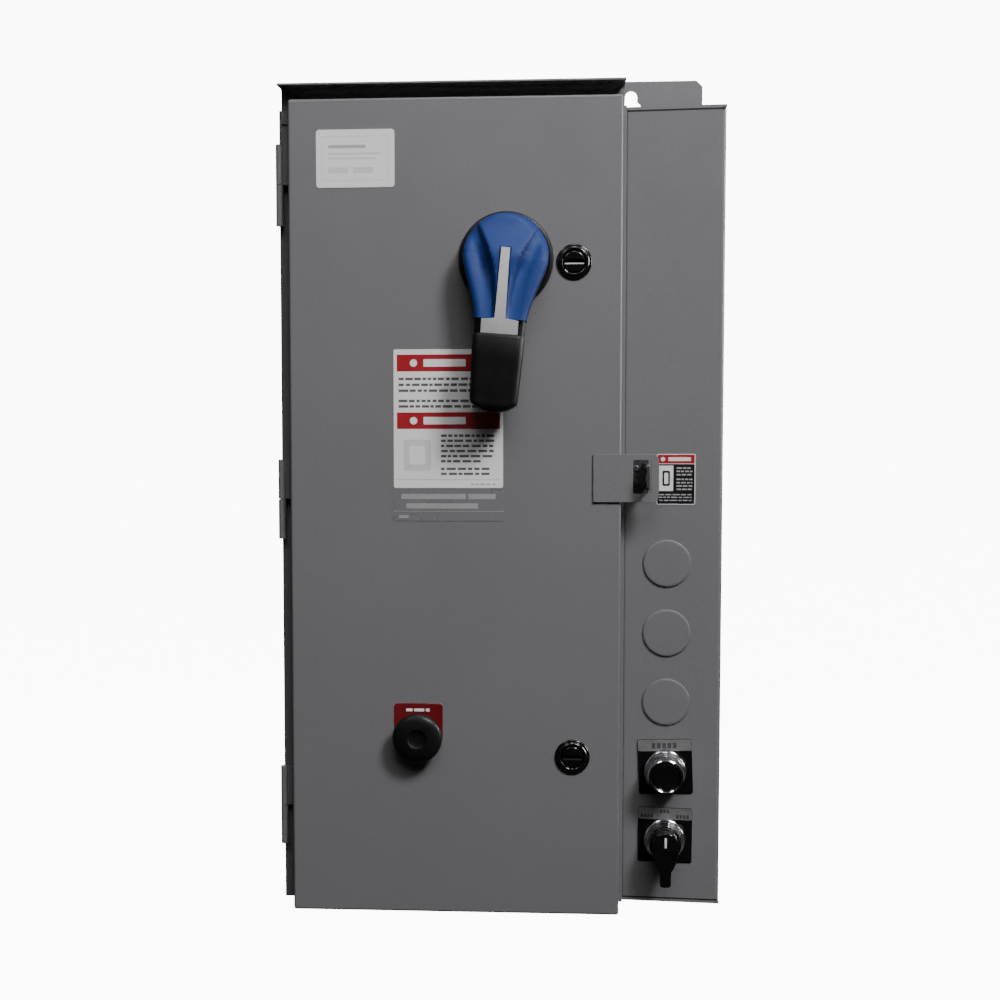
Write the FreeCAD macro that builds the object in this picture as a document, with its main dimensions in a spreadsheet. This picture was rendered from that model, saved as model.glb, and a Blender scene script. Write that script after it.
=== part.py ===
import FreeCAD, Part
import Sketcher
import math
import os
from FreeCAD import Vector

# Wall-mounted rainproof combination motor starter: a sheet-steel enclosure with a
# hinged door and drip hood, a rotary disconnect handle on the door, and inside it a
# motor circuit breaker, a contactor, an overload relay and a control transformer.
# Frame: origin on the wall plane behind the middle of the box, +X to the right,
# +Z up, the front of the box faces -Y.  Millimetres.

os.makedirs("parts", exist_ok=True)
doc = FreeCAD.newDocument("MotorStarter")
sheet = doc.addObject("Spreadsheet::Sheet", "Dims")
_row = [0]


class Q:
    """A number of the dimension sheet together with the expression that gives it."""

    def __init__(self, v, e):
        self.v = float(v)
        self.e = e

    @staticmethod
    def w(o):
        return o if isinstance(o, Q) else Q(o, repr(float(o)))

    def __add__(a, b):
        b = Q.w(b)
        return Q(a.v + b.v, "(%s + %s)" % (a.e, b.e))

    __radd__ = __add__

    def __sub__(a, b):
        b = Q.w(b)
        return Q(a.v - b.v, "(%s - %s)" % (a.e, b.e))

    def __rsub__(a, b):
        b = Q.w(b)
        return Q(b.v - a.v, "(%s - %s)" % (b.e, a.e))

    def __mul__(a, b):
        b = Q.w(b)
        return Q(a.v * b.v, "(%s * %s)" % (a.e, b.e))

    __rmul__ = __mul__

    def __truediv__(a, b):
        b = Q.w(b)
        return Q(a.v / b.v, "(%s / %s)" % (a.e, b.e))

    def __neg__(a):
        return Q(-a.v, "(0 - %s)" % a.e)


def dim(name, value, note=""):
    _row[0] += 1
    r = _row[0]
    sheet.set("A%d" % r, name)
    sheet.set("B%d" % r, repr(float(value)))
    sheet.setAlias("B%d" % r, name)
    if note:
        sheet.set("C%d" % r, note)
    return Q(value, "Dims.%s" % name)


# ---------------------------------------------------------------- dimensions
W = dim("box_width", 361.2, "outside width of the welded box")
H = dim("box_height", 650.0, "outside height of the welded box")
D = dim("box_depth", 165.0, "wall plane to front flange")
T = dim("sheet", 2.0, "steel sheet thickness")
RISE = dim("flange_rise", 60.3, "wall flange above the box top")
FALL = dim("flange_fall", 48.0, "wall flange below the box bottom")
FCH = dim("flange_chamfer", 5.5)
MX = dim("mount_half_pitch", 115.7, "half of the pitch of the wall fixings")
KEYTOP = dim("keyhole_seat_height", 371.3, "height of the bolt seat above the middle")
KEYLOW = dim("keyhole_entry_height", 358.6, "height of the bolt-head entry")
KR = dim("keyhole_seat_radius", 5.5)
KRB = dim("keyhole_entry_radius", 10.0)
BOTZ = dim("bottom_hole_drop", 362.0)
BOTR = dim("bottom_hole_radius", 5.5)

PX = dim("panel_left_edge", 101.0, "left edge of the slanted pilot panel")
PREC = dim("panel_recess", 5.5, "how far the left edge lies behind the right edge")
PRET = dim("panel_return", 14.0, "depth of the return on the panel's left edge")

FX0 = dim("opening_left", 158.0, "door opening, distance left of the middle")
FX1 = dim("opening_right", 84.0)
FZ = dim("opening_half_height", 308.0)
RIM = dim("rim_front", 181.0, "front edge of the gasket rim")

DX0 = dim("door_left", 169.7)
DX1 = dim("door_right", 97.0)
DZ = dim("door_half_height", 329.0)
DF = dim("door_face", 187.0, "wall plane to the door's outer face")
DB = dim("door_return_edge", 168.6, "wall plane to the rear edge of the door's returns")

HX0 = dim("hood_left", 178.0)
HX1 = dim("hood_right", 99.0)
HTOP = dim("hood_top", 343.4)
HFRONT = dim("hood_front", 189.0)

HGX = dim("hinge_offset", 178.8, "hinge axis, distance left of the middle")
HGY = dim("hinge_depth", 173.0, "hinge axis, distance from the wall plane")
HGR = dim("knuckle_radius", 3.1)
HGP = dim("pin_radius", 2.0)
HGC = dim("pin_clearance", 0.05)
HGL = dim("barrel_length", 65.0)
HGM = dim("middle_hinge_height", 9.5)
HGS = dim("hinge_pitch", 254.0)

AX = dim("handle_axis_right", 4.8, "handle and breaker axis, right of the middle")
AZ = dim("handle_axis_height", 200.8)
HREST = dim("handle_rest_tilt", 4.5, "degrees the handle hangs away from its stop")
HRING = dim("handle_ring_radius", 37.6)
HUBR = dim("handle_hub_radius", 33.6)
HLEN = dim("handle_length", 122.0)

LX = dim("latch_right", 58.8)
LZ = dim("latch_half_pitch", 198.5)
LR = dim("latch_flange_radius", 14.1)

RX = dim("reset_left", 66.0)
RZ = dim("reset_drop", 182.0)
RR = dim("reset_knob_radius", 20.0)
RTRAVEL = dim("reset_travel", 6.0)

PILX = dim("pilot_column", 136.2, "column of pilot device holes, right of the middle")
PITCH = dim("pilot_pitch", 57.15, "2.25 inch")
PTOP = dim("pilot_first_drop", 43.2, "first hole below the middle")
PHR = dim("pilot_hole_radius", 15.3)

PANF = dim("pan_front", 16.5, "wall plane to the front of the equipment pan")
PANT = dim("pan_thickness", 2.5)
doc.recompute()

TILT = math.degrees(math.atan2(PREC.v, W.v / 2.0 - PX.v))
SLOPE = PREC / (W / 2 - PX)


def panel_y(x):
    """Distance from the wall of the pilot panel's outer face at x."""
    return (D - PREC) + (x - PX) * SLOPE


# ---------------------------------------------------------------- helpers
_n = [0]
NODES = {}


def uid(stem):
    _n[0] += 1
    return "%s_%03d" % (stem, _n[0])


def plane(b, role):
    for o in b.Origin.OriginFeatures:
        if o.Role == role:
            return o
    raise RuntimeError(role)


def body(label):
    b = doc.addObject("PartDesign::Body", uid("Body"))
    b.Label = label
    return b


def sketch(b, role, off=0):
    off = Q.w(off)
    sk = b.newObject("Sketcher::SketchObject", uid("Sketch"))
    sk.AttachmentSupport = [(plane(b, role), "")]
    sk.MapMode = "FlatFace"
    sk.AttachmentOffset = FreeCAD.Placement(Vector(0, 0, off.v), FreeCAD.Rotation())
    sk.setExpression("AttachmentOffset.Base.z", off.e)
    return sk


def poly(sk, pts):
    pts = [(Q.w(a), Q.w(b)) for a, b in pts]
    n = len(pts)
    g0 = sk.GeometryCount
    for i in range(n):
        a = pts[i]
        c = pts[(i + 1) % n]
        sk.addGeometry(Part.LineSegment(Vector(a[0].v, a[1].v, 0), Vector(c[0].v, c[1].v, 0)), False)
    for i in range(n):
        sk.addConstraint(Sketcher.Constraint("Coincident", g0 + i, 2, g0 + (i + 1) % n, 1))
    for i in range(n):
        for k, kind in ((0, "DistanceX"), (1, "DistanceY")):
            q = pts[i][k]
            c = sk.addConstraint(Sketcher.Constraint(kind, -1, 1, g0 + i, 1, q.v))
            sk.setExpression("Constraints[%d]" % c, q.e)
    return sk


def rect(sk, x0, x1, z0, z1):
    return poly(sk, [(x0, z0), (x1, z0), (x1, z1), (x0, z1)])


def circle(sk, x, z, r):
    x, z, r = Q.w(x), Q.w(z), Q.w(r)
    g = sk.addGeometry(Part.Circle(Vector(x.v, z.v, 0), Vector(0, 0, 1), r.v), False)
    for c, e in (
        (Sketcher.Constraint("DistanceX", -1, 1, g, 3, x.v), x.e),
        (Sketcher.Constraint("DistanceY", -1, 1, g, 3, z.v), z.e),
        (Sketcher.Constraint("Radius", g, r.v), r.e),
    ):
        i = sk.addConstraint(c)
        sk.setExpression("Constraints[%d]" % i, e)
    return sk


def pad(b, sk, length, rev=False):
    length = Q.w(length)
    p = b.newObject("PartDesign::Pad", uid("Pad"))
    p.Profile = sk
    p.Length = length.v
    p.setExpression("Length", length.e)
    p.Reversed = rev
    b.Tip = p
    return p


def pocket(b, sk, length, rev=False):
    length = Q.w(length)
    p = b.newObject("PartDesign::Pocket", uid("Pocket"))
    p.Profile = sk
    p.Length = length.v
    p.setExpression("Length", length.e)
    p.Reversed = rev
    b.Tip = p
    doc.recompute()
    before = p.BaseFeature.Shape.Volume
    if b.Shape.Volume > before - 1e-3:
        raise RuntimeError("pocket cuts nothing in " + b.Label)
    return p


def revolve(b, sk, axis="V_Axis"):
    p = b.newObject("PartDesign::Revolution", uid("Rev"))
    p.Profile = sk
    p.ReferenceAxis = (sk, [axis])
    p.Angle = 360.0
    b.Tip = p
    return p


def fillet(b, radius, pred):
    """Round the edges of the body's tip for which pred(edge) is true."""
    doc.recompute()
    tip = b.Tip
    radius = Q.w(radius)
    names = ["Edge%d" % (i + 1) for i, e in enumerate(tip.Shape.Edges) if pred(e)]
    if not names:
        raise RuntimeError("no edge to round in " + b.Label)
    f = b.newObject("PartDesign::Fillet", uid("Fillet"))
    f.Base = (tip, names)
    f.Radius = radius.v
    f.setExpression("Radius", radius.e)
    b.Tip = f
    doc.recompute()
    return f


def place(o, x=0, y=0, z=0, axis=None, angle=None):
    x, y, z = Q.w(x), Q.w(y), Q.w(z)
    rot = FreeCAD.Rotation()
    if axis is not None:
        angle = Q.w(angle)
        rot = FreeCAD.Rotation(Vector(*axis), angle.v)
    o.Placement = FreeCAD.Placement(Vector(x.v, y.v, z.v), rot)
    o.setExpression("Placement.Base.x", x.e)
    o.setExpression("Placement.Base.y", y.e)
    o.setExpression("Placement.Base.z", z.e)
    return o


def box(x0, x1, y0, y1, z0, z1):
    """A block given by its lowest and highest corners."""
    x0, x1, y0, y1, z0, z1 = [Q.w(q) for q in (x0, x1, y0, y1, z0, z1)]
    o = doc.addObject("Part::Box", uid("Block"))
    for prop, q in (("Length", x1 - x0), ("Width", y1 - y0), ("Height", z1 - z0)):
        setattr(o, prop, q.v)
        o.setExpression(prop, q.e)
    return place(o, x0, y0, z0)


def cyl(r, x, z, y0, y1):
    """A cylinder along Y between distances y0 and y1 in front of the wall plane."""
    r, x, z, y0, y1 = [Q.w(q) for q in (r, x, z, y0, y1)]
    o = doc.addObject("Part::Cylinder", uid("Round"))
    o.Radius = r.v
    o.setExpression("Radius", r.e)
    hh = y1 - y0
    o.Height = hh.v
    o.setExpression("Height", hh.e)
    place(o, x, -y0, z, (1, 0, 0), 90.0)
    return o


def cylz(r, x, y, z0, z1):
    r, x, y, z0, z1 = [Q.w(q) for q in (r, x, y, z0, z1)]
    o = doc.addObject("Part::Cylinder", uid("Round"))
    o.Radius = r.v
    o.setExpression("Radius", r.e)
    hh = z1 - z0
    o.Height = hh.v
    o.setExpression("Height", hh.e)
    place(o, x, y, z0)
    return o


def cylx(r, y, z, x0, x1):
    r, y, z, x0, x1 = [Q.w(q) for q in (r, y, z, x0, x1)]
    o = doc.addObject("Part::Cylinder", uid("Round"))
    o.Radius = r.v
    o.setExpression("Radius", r.e)
    hh = x1 - x0
    o.Height = hh.v
    o.setExpression("Height", hh.e)
    place(o, x0, y, z, (0, 1, 0), 90.0)
    return o


def cone(r1, r2, x, z, y0, y1):
    r1, r2, x, z, y0, y1 = [Q.w(q) for q in (r1, r2, x, z, y0, y1)]
    o = doc.addObject("Part::Cone", uid("Taper"))
    for prop, q in (("Radius1", r1), ("Radius2", r2), ("Height", y1 - y0)):
        setattr(o, prop, q.v)
        o.setExpression(prop, q.e)
    place(o, x, -y0, z, (1, 0, 0), 90.0)
    return o


def hexz(r, x, z, y0, y1):
    """A hexagonal nut along Y."""
    r, x, z, y0, y1 = [Q.w(q) for q in (r, x, z, y0, y1)]
    o = doc.addObject("Part::Prism", uid("Hex"))
    o.Polygon = 6
    o.Circumradius = r.v
    o.setExpression("Circumradius", r.e)
    hh = y1 - y0
    o.Height = hh.v
    o.setExpression("Height", hh.e)
    place(o, x, -y0, z, (1, 0, 0), 90.0)
    return o


def fuse(*items):
    if len(items) == 1:
        return items[0]
    o = doc.addObject("Part::MultiFuse", uid("Fuse"))
    o.Shapes = list(items)
    o.Refine = True
    return o


def cut(base, *tools):
    t = tools[0] if len(tools) == 1 else group(*tools)
    o = doc.addObject("Part::Cut", uid("Cut"))
    o.Base = base
    o.Tool = t
    o.Refine = True
    return o


def group(*items):
    o = doc.addObject("Part::Compound", uid("Group"))
    o.Links = list(items)
    return o


def soften(o, radius, pred):
    """Round chosen edges of a primitive or boolean."""
    doc.recompute()
    radius = Q.w(radius)
    f = doc.addObject("Part::Fillet", uid("Round"))
    f.Base = o
    f.Edges = [(i + 1, radius.v, radius.v) for i, e in enumerate(o.Shape.Edges) if pred(e)]
    if not f.Edges:
        raise RuntimeError("no edge to round")
    return f


def node(label, o):
    o.Label = label
    NODES[label] = o
    return o


def at_y(e, y, tol=0.02):
    b = e.BoundBox
    return abs(b.YMin + y) < tol and abs(b.YMax + y) < tol


def along(e, k):
    b = e.BoundBox
    s = [b.XLength, b.YLength, b.ZLength]
    return s[k] > 0.2 and all(s[j] < 1e-3 for j in range(3) if j != k)


def near(a, b, tol=0.05):
    return abs(a - b) < tol


# ---------------------------------------------------------------- welded box
# Back sheet with the wall flanges above and below, keyholes and bolt holes.
b = body("back_sheet")
zt = H / 2 + RISE
zb = H / 2 + FALL
pad(b, poly(sketch(b, "XZ_Plane"), [
    (-W / 2, -zb + FCH), (-W / 2 + FCH, -zb), (W / 2 - FCH, -zb), (W / 2, -zb + FCH),
    (W / 2, zt - FCH), (W / 2 - FCH, zt), (-W / 2 + FCH, zt), (-W / 2, zt - FCH)]), T)
sk = sketch(b, "XZ_Plane", T)
for s in (-1, 1):
    circle(sk, MX * s, KEYLOW, KRB)
    circle(sk, MX * s, -BOTZ, BOTR)
pocket(b, sk, T + 1)
sk = sketch(b, "XZ_Plane", T)
for s in (-1, 1):
    rect(sk, MX * s - KR, MX * s + KR, KEYLOW, KEYTOP)
pocket(b, sk, T + 1)
sk = sketch(b, "XZ_Plane", T)
for s in (-1, 1):
    circle(sk, MX * s, KEYTOP, KR)
pocket(b, sk, T + 1)
node("back_panel", b)

# Left wall, with its front edge behind the front flange.
node("left_side", box(-W / 2, -W / 2 + T, -(D - T), -T, -(H / 2 - T), H / 2 - T))

# Right wall and slanted pilot panel, one bent sheet with a return on its left edge.
b = body("pilot_sheet")
pad(b, poly(sketch(b, "XY_Plane", -(H / 2 - T)), [
    (W / 2, -T), (W / 2, -D), (PX, -panel_y(PX)), (PX, -(panel_y(PX) - PRET)),
    (PX + T, -(panel_y(PX) - PRET)), (PX + T, -(panel_y(PX + T) - T)),
    (W / 2 - T, -(panel_y(W / 2 - T) - T)), (W / 2 - T, -T)]), H - 2 * T)
fillet(b, 3.4, lambda e: along(e, 2) and near(e.BoundBox.XMin, W.v / 2) and near(e.BoundBox.YMin, -D.v))
fillet(b, 1.9, lambda e: along(e, 2) and near(e.BoundBox.XMin, PX.v) and near(e.BoundBox.YMin, -panel_y(PX).v))


def on_panel(o, x, z, extra=0.0):
    """Put an object built round the origin, facing -Y, on the pilot panel at x, z."""
    x, z = Q.w(x), Q.w(z)
    y = panel_y(x)
    o.Placement = FreeCAD.Placement(Vector(x.v, -y.v, z.v), FreeCAD.Rotation(Vector(0, 0, 1), -TILT)
                                    * FreeCAD.Rotation(Vector(0, 1, 0), extra))
    o.setExpression("Placement.Base.x", x.e)
    o.setExpression("Placement.Base.y", (-y).e)
    o.setExpression("Placement.Base.z", z.e)
    return o


pil_z = [-(PTOP + PITCH * k) for k in range(5)]
holes = []
for k in range(5):
    h = group(cyl(PHR, 0, 0, -6, 6))
    holes.append(on_panel(h, PILX, pil_z[k]))
node("pilot_side_panel", cut(b, *holes))

# End plates that close the box above and below.


def end_outline(sk):
    return poly(sk, [(-W / 2, -T), (W / 2, -T), (W / 2, -D), (PX, -panel_y(PX)),
                     (PX, -(D - T)), (-W / 2, -(D - T))])


b = body("top_end")
pad(b, end_outline(sketch(b, "XY_Plane", H / 2 - T)), T)
fillet(b, 1.8, lambda e: along(e, 0) and near(e.BoundBox.ZMax, H.v / 2) and near(e.BoundBox.YMin, -T.v))
node("top_end", b)

b = body("bottom_sheet")
pad(b, end_outline(sketch(b, "XY_Plane", -H / 2)), T)
# Ring-shaped scores mark the knockouts for conduit in the bottom plate.
for kx, kr in ((-105.0, 22.0), (-25.0, 27.0), (60.0, 22.0), (135.0, 14.0)):
    sk = sketch(b, "XY_Plane", -H / 2)
    circle(sk, kx, -80.0, kr)
    circle(sk, kx, -80.0, kr - 0.8)
    pocket(b, sk, 1.2, True)
node("bottom_end", b)

# Front flange with the raised rim that the gasket closes on.
b = body("door_frame")
sk = sketch(b, "XZ_Plane", D - T)
rect(sk, -W / 2, PX, -H / 2, H / 2)
rect(sk, -FX0, FX1, -FZ, FZ)
pad(b, sk, T)
sk = sketch(b, "XZ_Plane", D - T)
rect(sk, -FX0, FX1, -FZ, FZ)
rect(sk, -FX0 + T, FX1 - T, -FZ + T, FZ - T)
pad(b, sk, RIM - D + T)
fillet(b, 1.8, lambda e: along(e, 2) and near(e.BoundBox.XMin, -W.v / 2) and near(e.BoundBox.YMin, -D.v))
node("door_frame", b)

# Drip hood: an upright web on the flange and a sloping shelf over the door.
b = body("drip_hood")
pad(b, poly(sketch(b, "YZ_Plane", -HX0), [
    (-D, 314.0), (-D, HTOP), (-HFRONT, HTOP - 2.3), (-HFRONT, HTOP - 3.9),
    (-D - T, HTOP - 1.8), (-D - T, 314.0)]), HX0 + HX1)
fillet(b, 1.4, lambda e: along(e, 0) and near(e.BoundBox.ZMax, HTOP.v) and near(e.BoundBox.YMin, -D.v))
fillet(b, 0.5, lambda e: along(e, 0) and near(e.BoundBox.ZMax, HTOP.v - 2.3) and near(e.BoundBox.YMin, -HFRONT.v))
fillet(b, 4.0, lambda e: along(e, 0) and near(e.BoundBox.ZMax, HTOP.v - 1.8) and near(e.BoundBox.YMin, -(D.v + T.v)))
node("drip_hood", b)

# ---------------------------------------------------------------- hinges
hz = [HGM + HGS, HGM, HGM - HGS]
box_leaf, door_leaf, pins = [], [], []
for z in hz:
    lo, hi = z - HGL / 2, z + HGL / 2
    k = fuse(cylz(HGR, -HGX, -HGY, lo, z - 0.25), box(-HGX - 1.0, -HGX + 1.0, -HGY, -D, lo, z - 0.25))
    box_leaf.append(cut(k, cylz(HGP + HGC, -HGX, -HGY, lo - 1, hi + 1)))
    k = fuse(cylz(HGR, -HGX, -HGY, z + 0.25, hi), box(-HGX, -DX0, -HGY - 1.0, -HGY + 1.0, z + 0.25, hi))
    door_leaf.append(cut(k, cylz(HGP + HGC, -HGX, -HGY, lo - 1, hi + 1)))
    pins.append(cylz(HGP, -HGX, -HGY, lo + 0.5, hi - 0.5))
node("hinge_box_leaves", group(*box_leaf))
node("hinge_door_leaves", group(*door_leaf))
node("hinge_pins", group(*pins))

# ---------------------------------------------------------------- door
b = body("door_pan")
pad(b, rect(sketch(b, "XZ_Plane", DB), -DX0, DX1, -DZ, DZ), DF - DB)
fillet(b, 2.2, lambda e: at_y(e, DF.v) or along(e, 1))
sk = sketch(b, "XZ_Plane", DB)
rect(sk, -DX0 + T, DX1 - T, -DZ + T, DZ - T)
pocket(b, sk, DF - DB - T, True)
sk = sketch(b, "XZ_Plane", DF)
circle(sk, AX, AZ, 18.0)
circle(sk, LX, LZ, 10.3)
circle(sk, LX, -LZ, 10.3)
circle(sk, -RX, -RZ, 12.5)
pocket(b, sk, T + 1)
node("door_pan", b)

b = body("door_gasket")
sk = sketch(b, "XZ_Plane", RIM + 0.3)
rect(sk, -FX0 - 5, FX1 + 5, -FZ - 5, FZ + 5)
rect(sk, -FX0 + 7, FX1 - 7, -FZ + 7, FZ - 7)
pad(b, sk, DF - T - RIM - 0.3)
node("door_gasket", b)

# Hasp plate that reaches over the pilot panel, with the window for the staple.
b = body("hasp_plate")
pad(b, poly(sketch(b, "XZ_Plane", DF), [
    (74.6, 8.0), (121.3, 8.0), (126.3, 12.5), (126.3, 41.6), (121.3, 46.1), (74.6, 46.1)]), 2.0)
sk = sketch(b, "XZ_Plane", DF + 2)
rect(sk, 106.1, 120.3, 15.5, 40.8)
pocket(b, sk, 3.0)
fillet(b, 1.2, lambda e: along(e, 1) and e.BoundBox.XMin > 105 and e.BoundBox.XMax < 121 and 15 < e.BoundBox.ZMin < 41)
node("hasp_plate", b)

# Staple on the pilot panel: riveted foot and an upright leg with the padlock hole.
b = body("padlock_staple")
fy = panel_y(Q.w(104.5))
ly = panel_y(Q.w(118.0))
my = panel_y(Q.w(115.8))
pad(b, poly(sketch(b, "XY_Plane", 18.2), [
    (104.5, -fy), (118.0, -ly), (118.0, -206.0), (115.8, -206.0), (115.8, -my - 2.0), (104.5, -fy - 2.0)]), 20.6)
sk = sketch(b, "YZ_Plane", 119.0)
circle(sk, -197.6, 28.5, 4.75)
pocket(b, sk, 5.0)
fillet(b, 3.0, lambda e: along(e, 0) and near(e.BoundBox.YMin, -206.0))
node("padlock_staple", b)

rv = []
for z in (34.3, 22.7):
    r = fuse(cyl(2.9, 0, 0, 2.0, 3.4), cyl(1.6, 0, 0, -4.0, 2.0))
    rv.append(on_panel(group(r), 110.6, z))
# The rivet shanks pass through the staple foot and the panel, so the holes are cut there too.
sh = []
for z in (34.3, 22.7):
    sh.append(on_panel(group(cyl(1.65, 0, 0, -8.0, 8.0)), 110.6, z))
NODES["padlock_staple"].Label = "staple_blank"
node("padlock_staple", cut(NODES["padlock_staple"], *sh))
NODES["pilot_side_panel"].Label = "pilot_blank"
node("pilot_side_panel", cut(NODES["pilot_side_panel"], *sh))
node("staple_rivets", group(*rv))

# Labels, blank thin plates.
node("nameplate", soften(box(-146.7, -84.0, -DF - 0.5, -DF, 258.7, 304.3), 2.6, lambda e: along(e, 1)))
node("warning_label", box(-85.3, 2.6, -DF - 0.3, -DF, -7.4, 130.2))
node("side_label", on_panel(soften(box(-15.5, 15.5, -0.4, 0.0, -20.6, 20.6), 1.2, lambda e: along(e, 1)), 142.8, 25.5))
b = body("reset_label")
pad(b, rect(sketch(b, "XZ_Plane", DF), -RX - 19.8, -RX + 19.8, -RZ, -156.0), 0.5)
pad(b, circle(sketch(b, "XZ_Plane", DF), -RX, -RZ, 19.8), 0.5)
sk = sketch(b, "XZ_Plane", DF + 0.5)
circle(sk, -RX, -RZ, 12.5)
pocket(b, sk, 2.0)
fillet(b, 2.2, lambda e: along(e, 1) and near(e.BoundBox.ZMax, -156.0))
node("reset_label", b)

# ---------------------------------------------------------------- handle
ring = fuse(cyl(HRING, AX, AZ, DF, DF + 5.0), cyl(17.6, AX, AZ, DF - 9.0, DF))
ring = cut(ring, cyl(12.35, AX, AZ, DF - 10, DF + 6))
node("handle_base", soften(ring, 1.6, lambda e: at_y(e, DF.v + 5.0) and e.BoundBox.XLength > 60))


def on_handle(o):
    o.Placement = FreeCAD.Placement(Vector(AX.v, 0, AZ.v), FreeCAD.Rotation(Vector(0, 1, 0), HREST.v))
    o.setExpression("Placement.Base.x", AX.e)
    o.setExpression("Placement.Base.z", AZ.e)
    o.setExpression("Placement.Rotation.Angle", HREST.e)
    return o


# Hub: round cap with a neck that runs down to the grip.
b = body("handle_hub")
pad(b, circle(sketch(b, "XZ_Plane", DF + 5.4), 0, 0, HUBR), 26.0)
pad(b, poly(sketch(b, "XZ_Plane", DF + 13.0), [
    (-31.0, -12.0), (-20.6, -40.0), (-20.6, -50.0), (20.6, -50.0), (20.6, -40.0), (31.0, -12.0), (0, 10.0)]), 24.0)
fillet(b, 5.0, lambda e: at_y(e, DF.v + 31.4) and e.BoundBox.XLength > 20 and e.BoundBox.ZMax > 15)
node("handle_hub", on_handle(b))

b = body("handle_grip")
pad(b, poly(sketch(b, "XZ_Plane", DF + 16.0), [
    (-20.0, -62.4), (-19.6, -110.0), (-14.0, -HLEN), (14.0, -HLEN), (19.6, -110.0), (20.0, -62.4)]), 28.0)
pad(b, rect(sketch(b, "XZ_Plane", DF + 16.0), -20.0, 20.0, -63.0, -50.0), 17.0)
fillet(b, 5.0, lambda e: (at_y(e, DF.v + 44.0) or at_y(e, DF.v + 16.0)) and along(e, 2) is False and e.BoundBox.ZMax < -60.5)
node("handle_grip", on_handle(b))

# Padlock slide: a T-shaped plate over the hub's spine that pulls out to the front.
b = body("padlock_slide")
pad(b, poly(sketch(b, "XZ_Plane", DF + 37.3), [
    (-4.0, 8.0), (4.0, 8.0), (4.0, -50.3), (14.8, -50.3), (14.8, -62.0), (-14.8, -62.0), (-14.8, -50.3), (-4.0, -50.3)]), 3.0)
pad(b, rect(sketch(b, "XZ_Plane", DF + 33.3), -14.0, 14.0, -61.5, -50.8), 4.0)
node("padlock_slide", on_handle(b))

# Socket behind the hub that takes the square shaft.
b = body("shaft_socket")
pad(b, circle(sketch(b, "XZ_Plane", DF - 21.0), 0, 0, 12.3), 26.4)
sk = sketch(b, "XZ_Plane", DF - 21.0)
rect(sk, -4.85, 4.85, -4.85, 4.85)
pocket(b, sk, 16.0, True)
sk = sketch(b, "XZ_Plane", DF - 21.0)
rect(sk, -6.6, 6.6, -6.6, 6.6)
pocket(b, sk, 2.5, True)
node("shaft_socket", on_handle(b))

# Square shaft with the crank that works the breaker.
CR = dim("crank_radius", 12.87)
b = body("operator_shaft")
pad(b, rect(sketch(b, "XZ_Plane", 136.0), -4.0, 4.0, -4.0, 4.0), 38.0)
pad(b, circle(sketch(b, "XZ_Plane", 118.5), 0, 0, 5.6), 17.5)
a0 = math.radians(225.0)
px, pz = CR.v * math.cos(a0), CR.v * math.sin(a0)
pad(b, poly(sketch(b, "XZ_Plane", 118.5), [
    (px * 1.35 - 3.2, pz * 1.35 + 3.2), (px * 1.35 + 3.2, pz * 1.35 - 3.2), (7.0, 1.0), (1.0, 7.0)]), 3.5)
pad(b, circle(sketch(b, "XZ_Plane", 101.6), px, pz, 2.2), 17.0)
node("operator_shaft", on_handle(b))

# ---------------------------------------------------------------- latches
for nm, s in (("upper", 1), ("lower", -1)):
    z = LZ * s
    core = fuse(cyl(8.65, LX, z, DF - 13.0, DF + 2.9), cyl(5.0, LX, z, 157.0, DF - 13.0),
                box(LX - 6.5, LX + 6.5, -162.0, -159.0, z - 8.0, z + 33.0), hexz(7.0, LX, z, 155.0, 159.0))
    core = cut(core, box(LX - 7.6, LX + 7.6, -DF - 3.2, -DF - 0.6, z - 1.2, z + 1.2))
    node(nm + "_latch", core)
hs = []
for s in (1, -1):
    z = LZ * s
    h = cut(fuse(cyl(LR, LX, z, DF, DF + 3.0), cyl(10.2, LX, z, DF - 12.0, DF)), cyl(8.7, LX, z, DF - 14, DF + 5))
    hs.append(soften(h, 1.0, lambda e: at_y(e, DF.v + 3.0) and e.BoundBox.XLength > 26))
node("latch_housings", group(*hs))

# ---------------------------------------------------------------- reset operator
bush = cut(fuse(cyl(16.5, -RX, -RZ, DF + 0.5, DF + 3.0), cyl(12.3, -RX, -RZ, DF - 14.0, DF + 0.5),
                cyl(16.0, -RX, -RZ, DF - 7.0, DF - 2.0)),
           cyl(9.05, -RX, -RZ, DF - 16, DF + 5))
node("reset_bushing", bush)
b = body("reset_knob")
# Profile turned about its own axis, then laid on the door's reset axis.
sk = sketch(b, "XY_Plane")
poly(sk, [(0, -112.5), (4.0, -112.5), (4.0, -176.0), (9.0, -176.0), (9.0, -197.0), (RR - 0.6, -197.0),
          (RR, -199.0), (RR - 0.8, -202.0), (RR - 4.5, -204.4), (8.2, -205.4), (7.2, -205.4), (6.6, -204.2), (0, -204.2)])
revolve(b, sk)
place(b, -RX, 0, -RZ)
node("reset_knob", b)

# ---------------------------------------------------------------- pilot devices
plugs = []
for k in range(3):
    p = fuse(cyl(19.35, 0, 0, 0.0, 1.9), cyl(15.1, 0, 0, -9.0, 0.0))
    p = cut(p, cyl(13.6, 0, 0, -10.0, -1.0))
    p = soften(p, 0.9, lambda e: at_y(e, 1.9) and e.BoundBox.XLength > 30)
    plugs.append(on_panel(p, PILX, pil_z[k]))
node("hole_plugs", group(*plugs))

lp = []
for k, extra in ((3, -2.2), (4, 0.4)):
    p = soften(cut(box(-22.0, 22.0, -1.5, 0.0, -19.0, 26.0), cyl(15.2, 0, 0, -1, 3)), 1.0,
               lambda e: along(e, 1) and e.BoundBox.DiagonalLength < 2)
    lp.append(on_panel(p, PILX, pil_z[k], extra))
node("legend_plates", group(*lp))

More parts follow.
